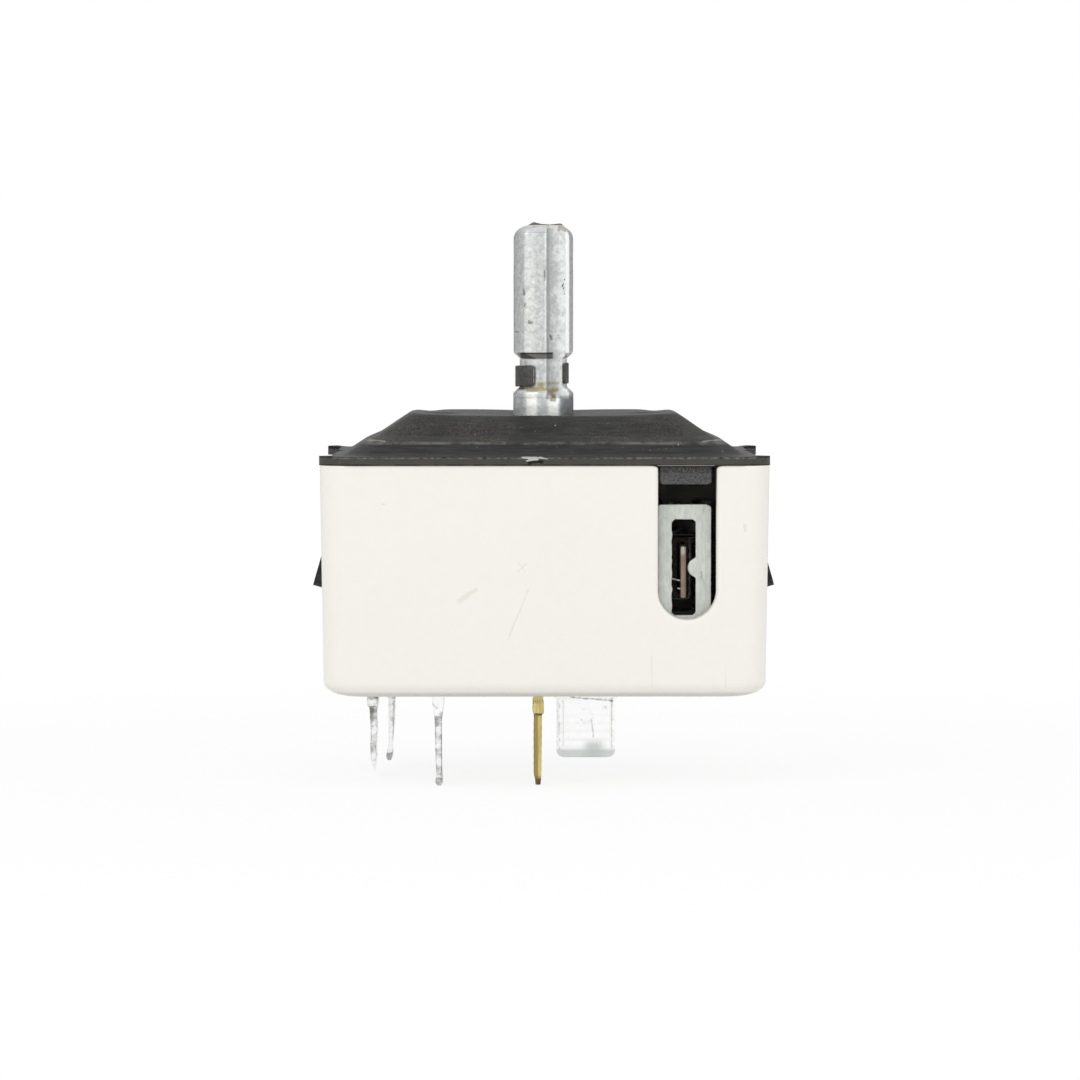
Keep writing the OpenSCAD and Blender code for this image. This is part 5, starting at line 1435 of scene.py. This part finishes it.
# %% [markdown]
# ## Light and ground
#
# A product photograph on white has light from all sides. The world is white to the camera and to
# reflections, and a little weaker as a lamp, so that colours come out as written. Two soft lamps
# give the box its form. Grey cards that the camera doesn't see darken the sides of the bright metal.
# The floor turns to plain white further out, so that no horizon shows.

# %% World and lamps
SKY_FILL = 0.77
world = bpy.data.worlds.new("studio")
bpy.context.scene.world = world
world.use_nodes = True


def eye_rays(tree):
    """1 for rays from the camera and for reflected or refracted ones, 0 for those that gather light."""
    paths = put(tree, "LightPath").outputs
    mirrored = calc(tree, "MAXIMUM", paths["Is Glossy Ray"], paths["Is Transmission Ray"])
    return calc(tree, "MAXIMUM", paths["Is Camera Ray"], mirrored)


sky = world.node_tree
strength = put(sky, "Mix", {0: eye_rays(sky), 2: SKY_FILL, 3: 1.0}, data_type="FLOAT").outputs[0]
feed(sky, sky.nodes["Background"], {"Strength": strength, "Color": (1, 1, 1, 1)})


def lamp(name, place, power, size):
    """A square area lamp aimed at the middle of the switch."""
    light = show(name, bpy.data.lights.new(name, "AREA"))
    light.data.shape, light.data.size, light.data.energy = "SQUARE", size, power
    light.location = place
    light.rotation_euler = (-light.location).to_track_quat("-Z", "Y").to_euler()


lamp("key", (-0.42, -0.42, 0.45), 1.1, 0.35)
lamp("fill", (0.5, -0.3, 0.3), 0.6, 0.35)

# %% Floor
GLOW_REACH, GLOW_SHARE = (0.05, 0.16), (0.88, 1.0)
FLOOR_HALF = 3


def flat_stage(name, corners, material):
    """A single flat face of the surroundings, attached to no body of the switch."""
    mesh = bpy.data.meshes.new(name)
    mesh.from_pydata(corners, [], [(0, 1, 2, 3)])
    mesh.materials.append(material)
    thing = show(name, mesh)
    return thing


ground, tree = new_shader("pale_floor")
matt = tree.nodes["Principled BSDF"]
feed(tree, matt, {"Base Color": (0.95, 0.95, 0.95, 1), "Roughness": 0.9, "Specular IOR Level": 0.0})
glow = put(tree, "Emission", {"Color": (1, 1, 1, 1), "Strength": 1.0}).outputs[0]
away = put(tree, "VectorMath", {0: put(tree, "TexCoord").outputs["Object"]}, operation="LENGTH").outputs["Value"]
share = calc(tree, "MULTIPLY", eye_rays(tree), soft_step(tree, away, *GLOW_REACH, *GLOW_SHARE))
shown = put(tree, "MixShader", {0: share, 1: matt.outputs[0], 2: glow}).outputs[0]
below = calc(tree, "MULTIPLY", put(tree, "NewGeometry").outputs["Backfacing"],
             put(tree, "LightPath").outputs["Is Camera Ray"])
clear = put(tree, "BsdfTransparent").outputs[0]
under = put(tree, "MixShader", {0: below, 1: shown, 2: clear}).outputs[0]
feed(tree, tree.nodes["Material Output"], {"Surface": under})
low = min(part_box(n)[0][2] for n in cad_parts)
SQUARE = ((-1, -1), (1, -1), (1, 1), (-1, 1))
flat_stage("floor", [(FLOOR_HALF * p, FLOOR_HALF * q, low) for p, q in SQUARE], ground)
print("floor at", round(low / MM, 2), "mm")

# %% Cards for reflections
def card(name, azimuth, half_wide, brightness, distance=0.45, half_high=0.3):
    """An upright card at an azimuth measured from the camera's side, facing the switch. Reflections
    see it, and a card near the side also takes a little light off the walls there."""
    shade, tree = new_shader(name)
    tree.nodes.remove(tree.nodes["Principled BSDF"])
    grey = put(tree, "Emission", {"Color": (1, 1, 1, 1), "Strength": brightness}).outputs[0]
    feed(tree, tree.nodes["Material Output"], {"Surface": grey})
    a = math.radians(azimuth)
    out, along = np.array([math.sin(a), -math.cos(a), 0]), np.array([math.cos(a), math.sin(a), 0])
    up = np.array([0, 0, half_high])
    thing = flat_stage(name, [tuple(out * distance + p * along * half_wide + q * up) for p, q in SQUARE], shade)
    thing.visible_diffuse = abs(azimuth) < 120
    thing.visible_camera = thing.visible_transmission = thing.visible_shadow = False


for side in (-1, 1):
    card(f"card_side_{side}", side * 104, 0.24, 0.5)
    card(f"card_edge_{side}", side * 150, 0.1, 0.22)
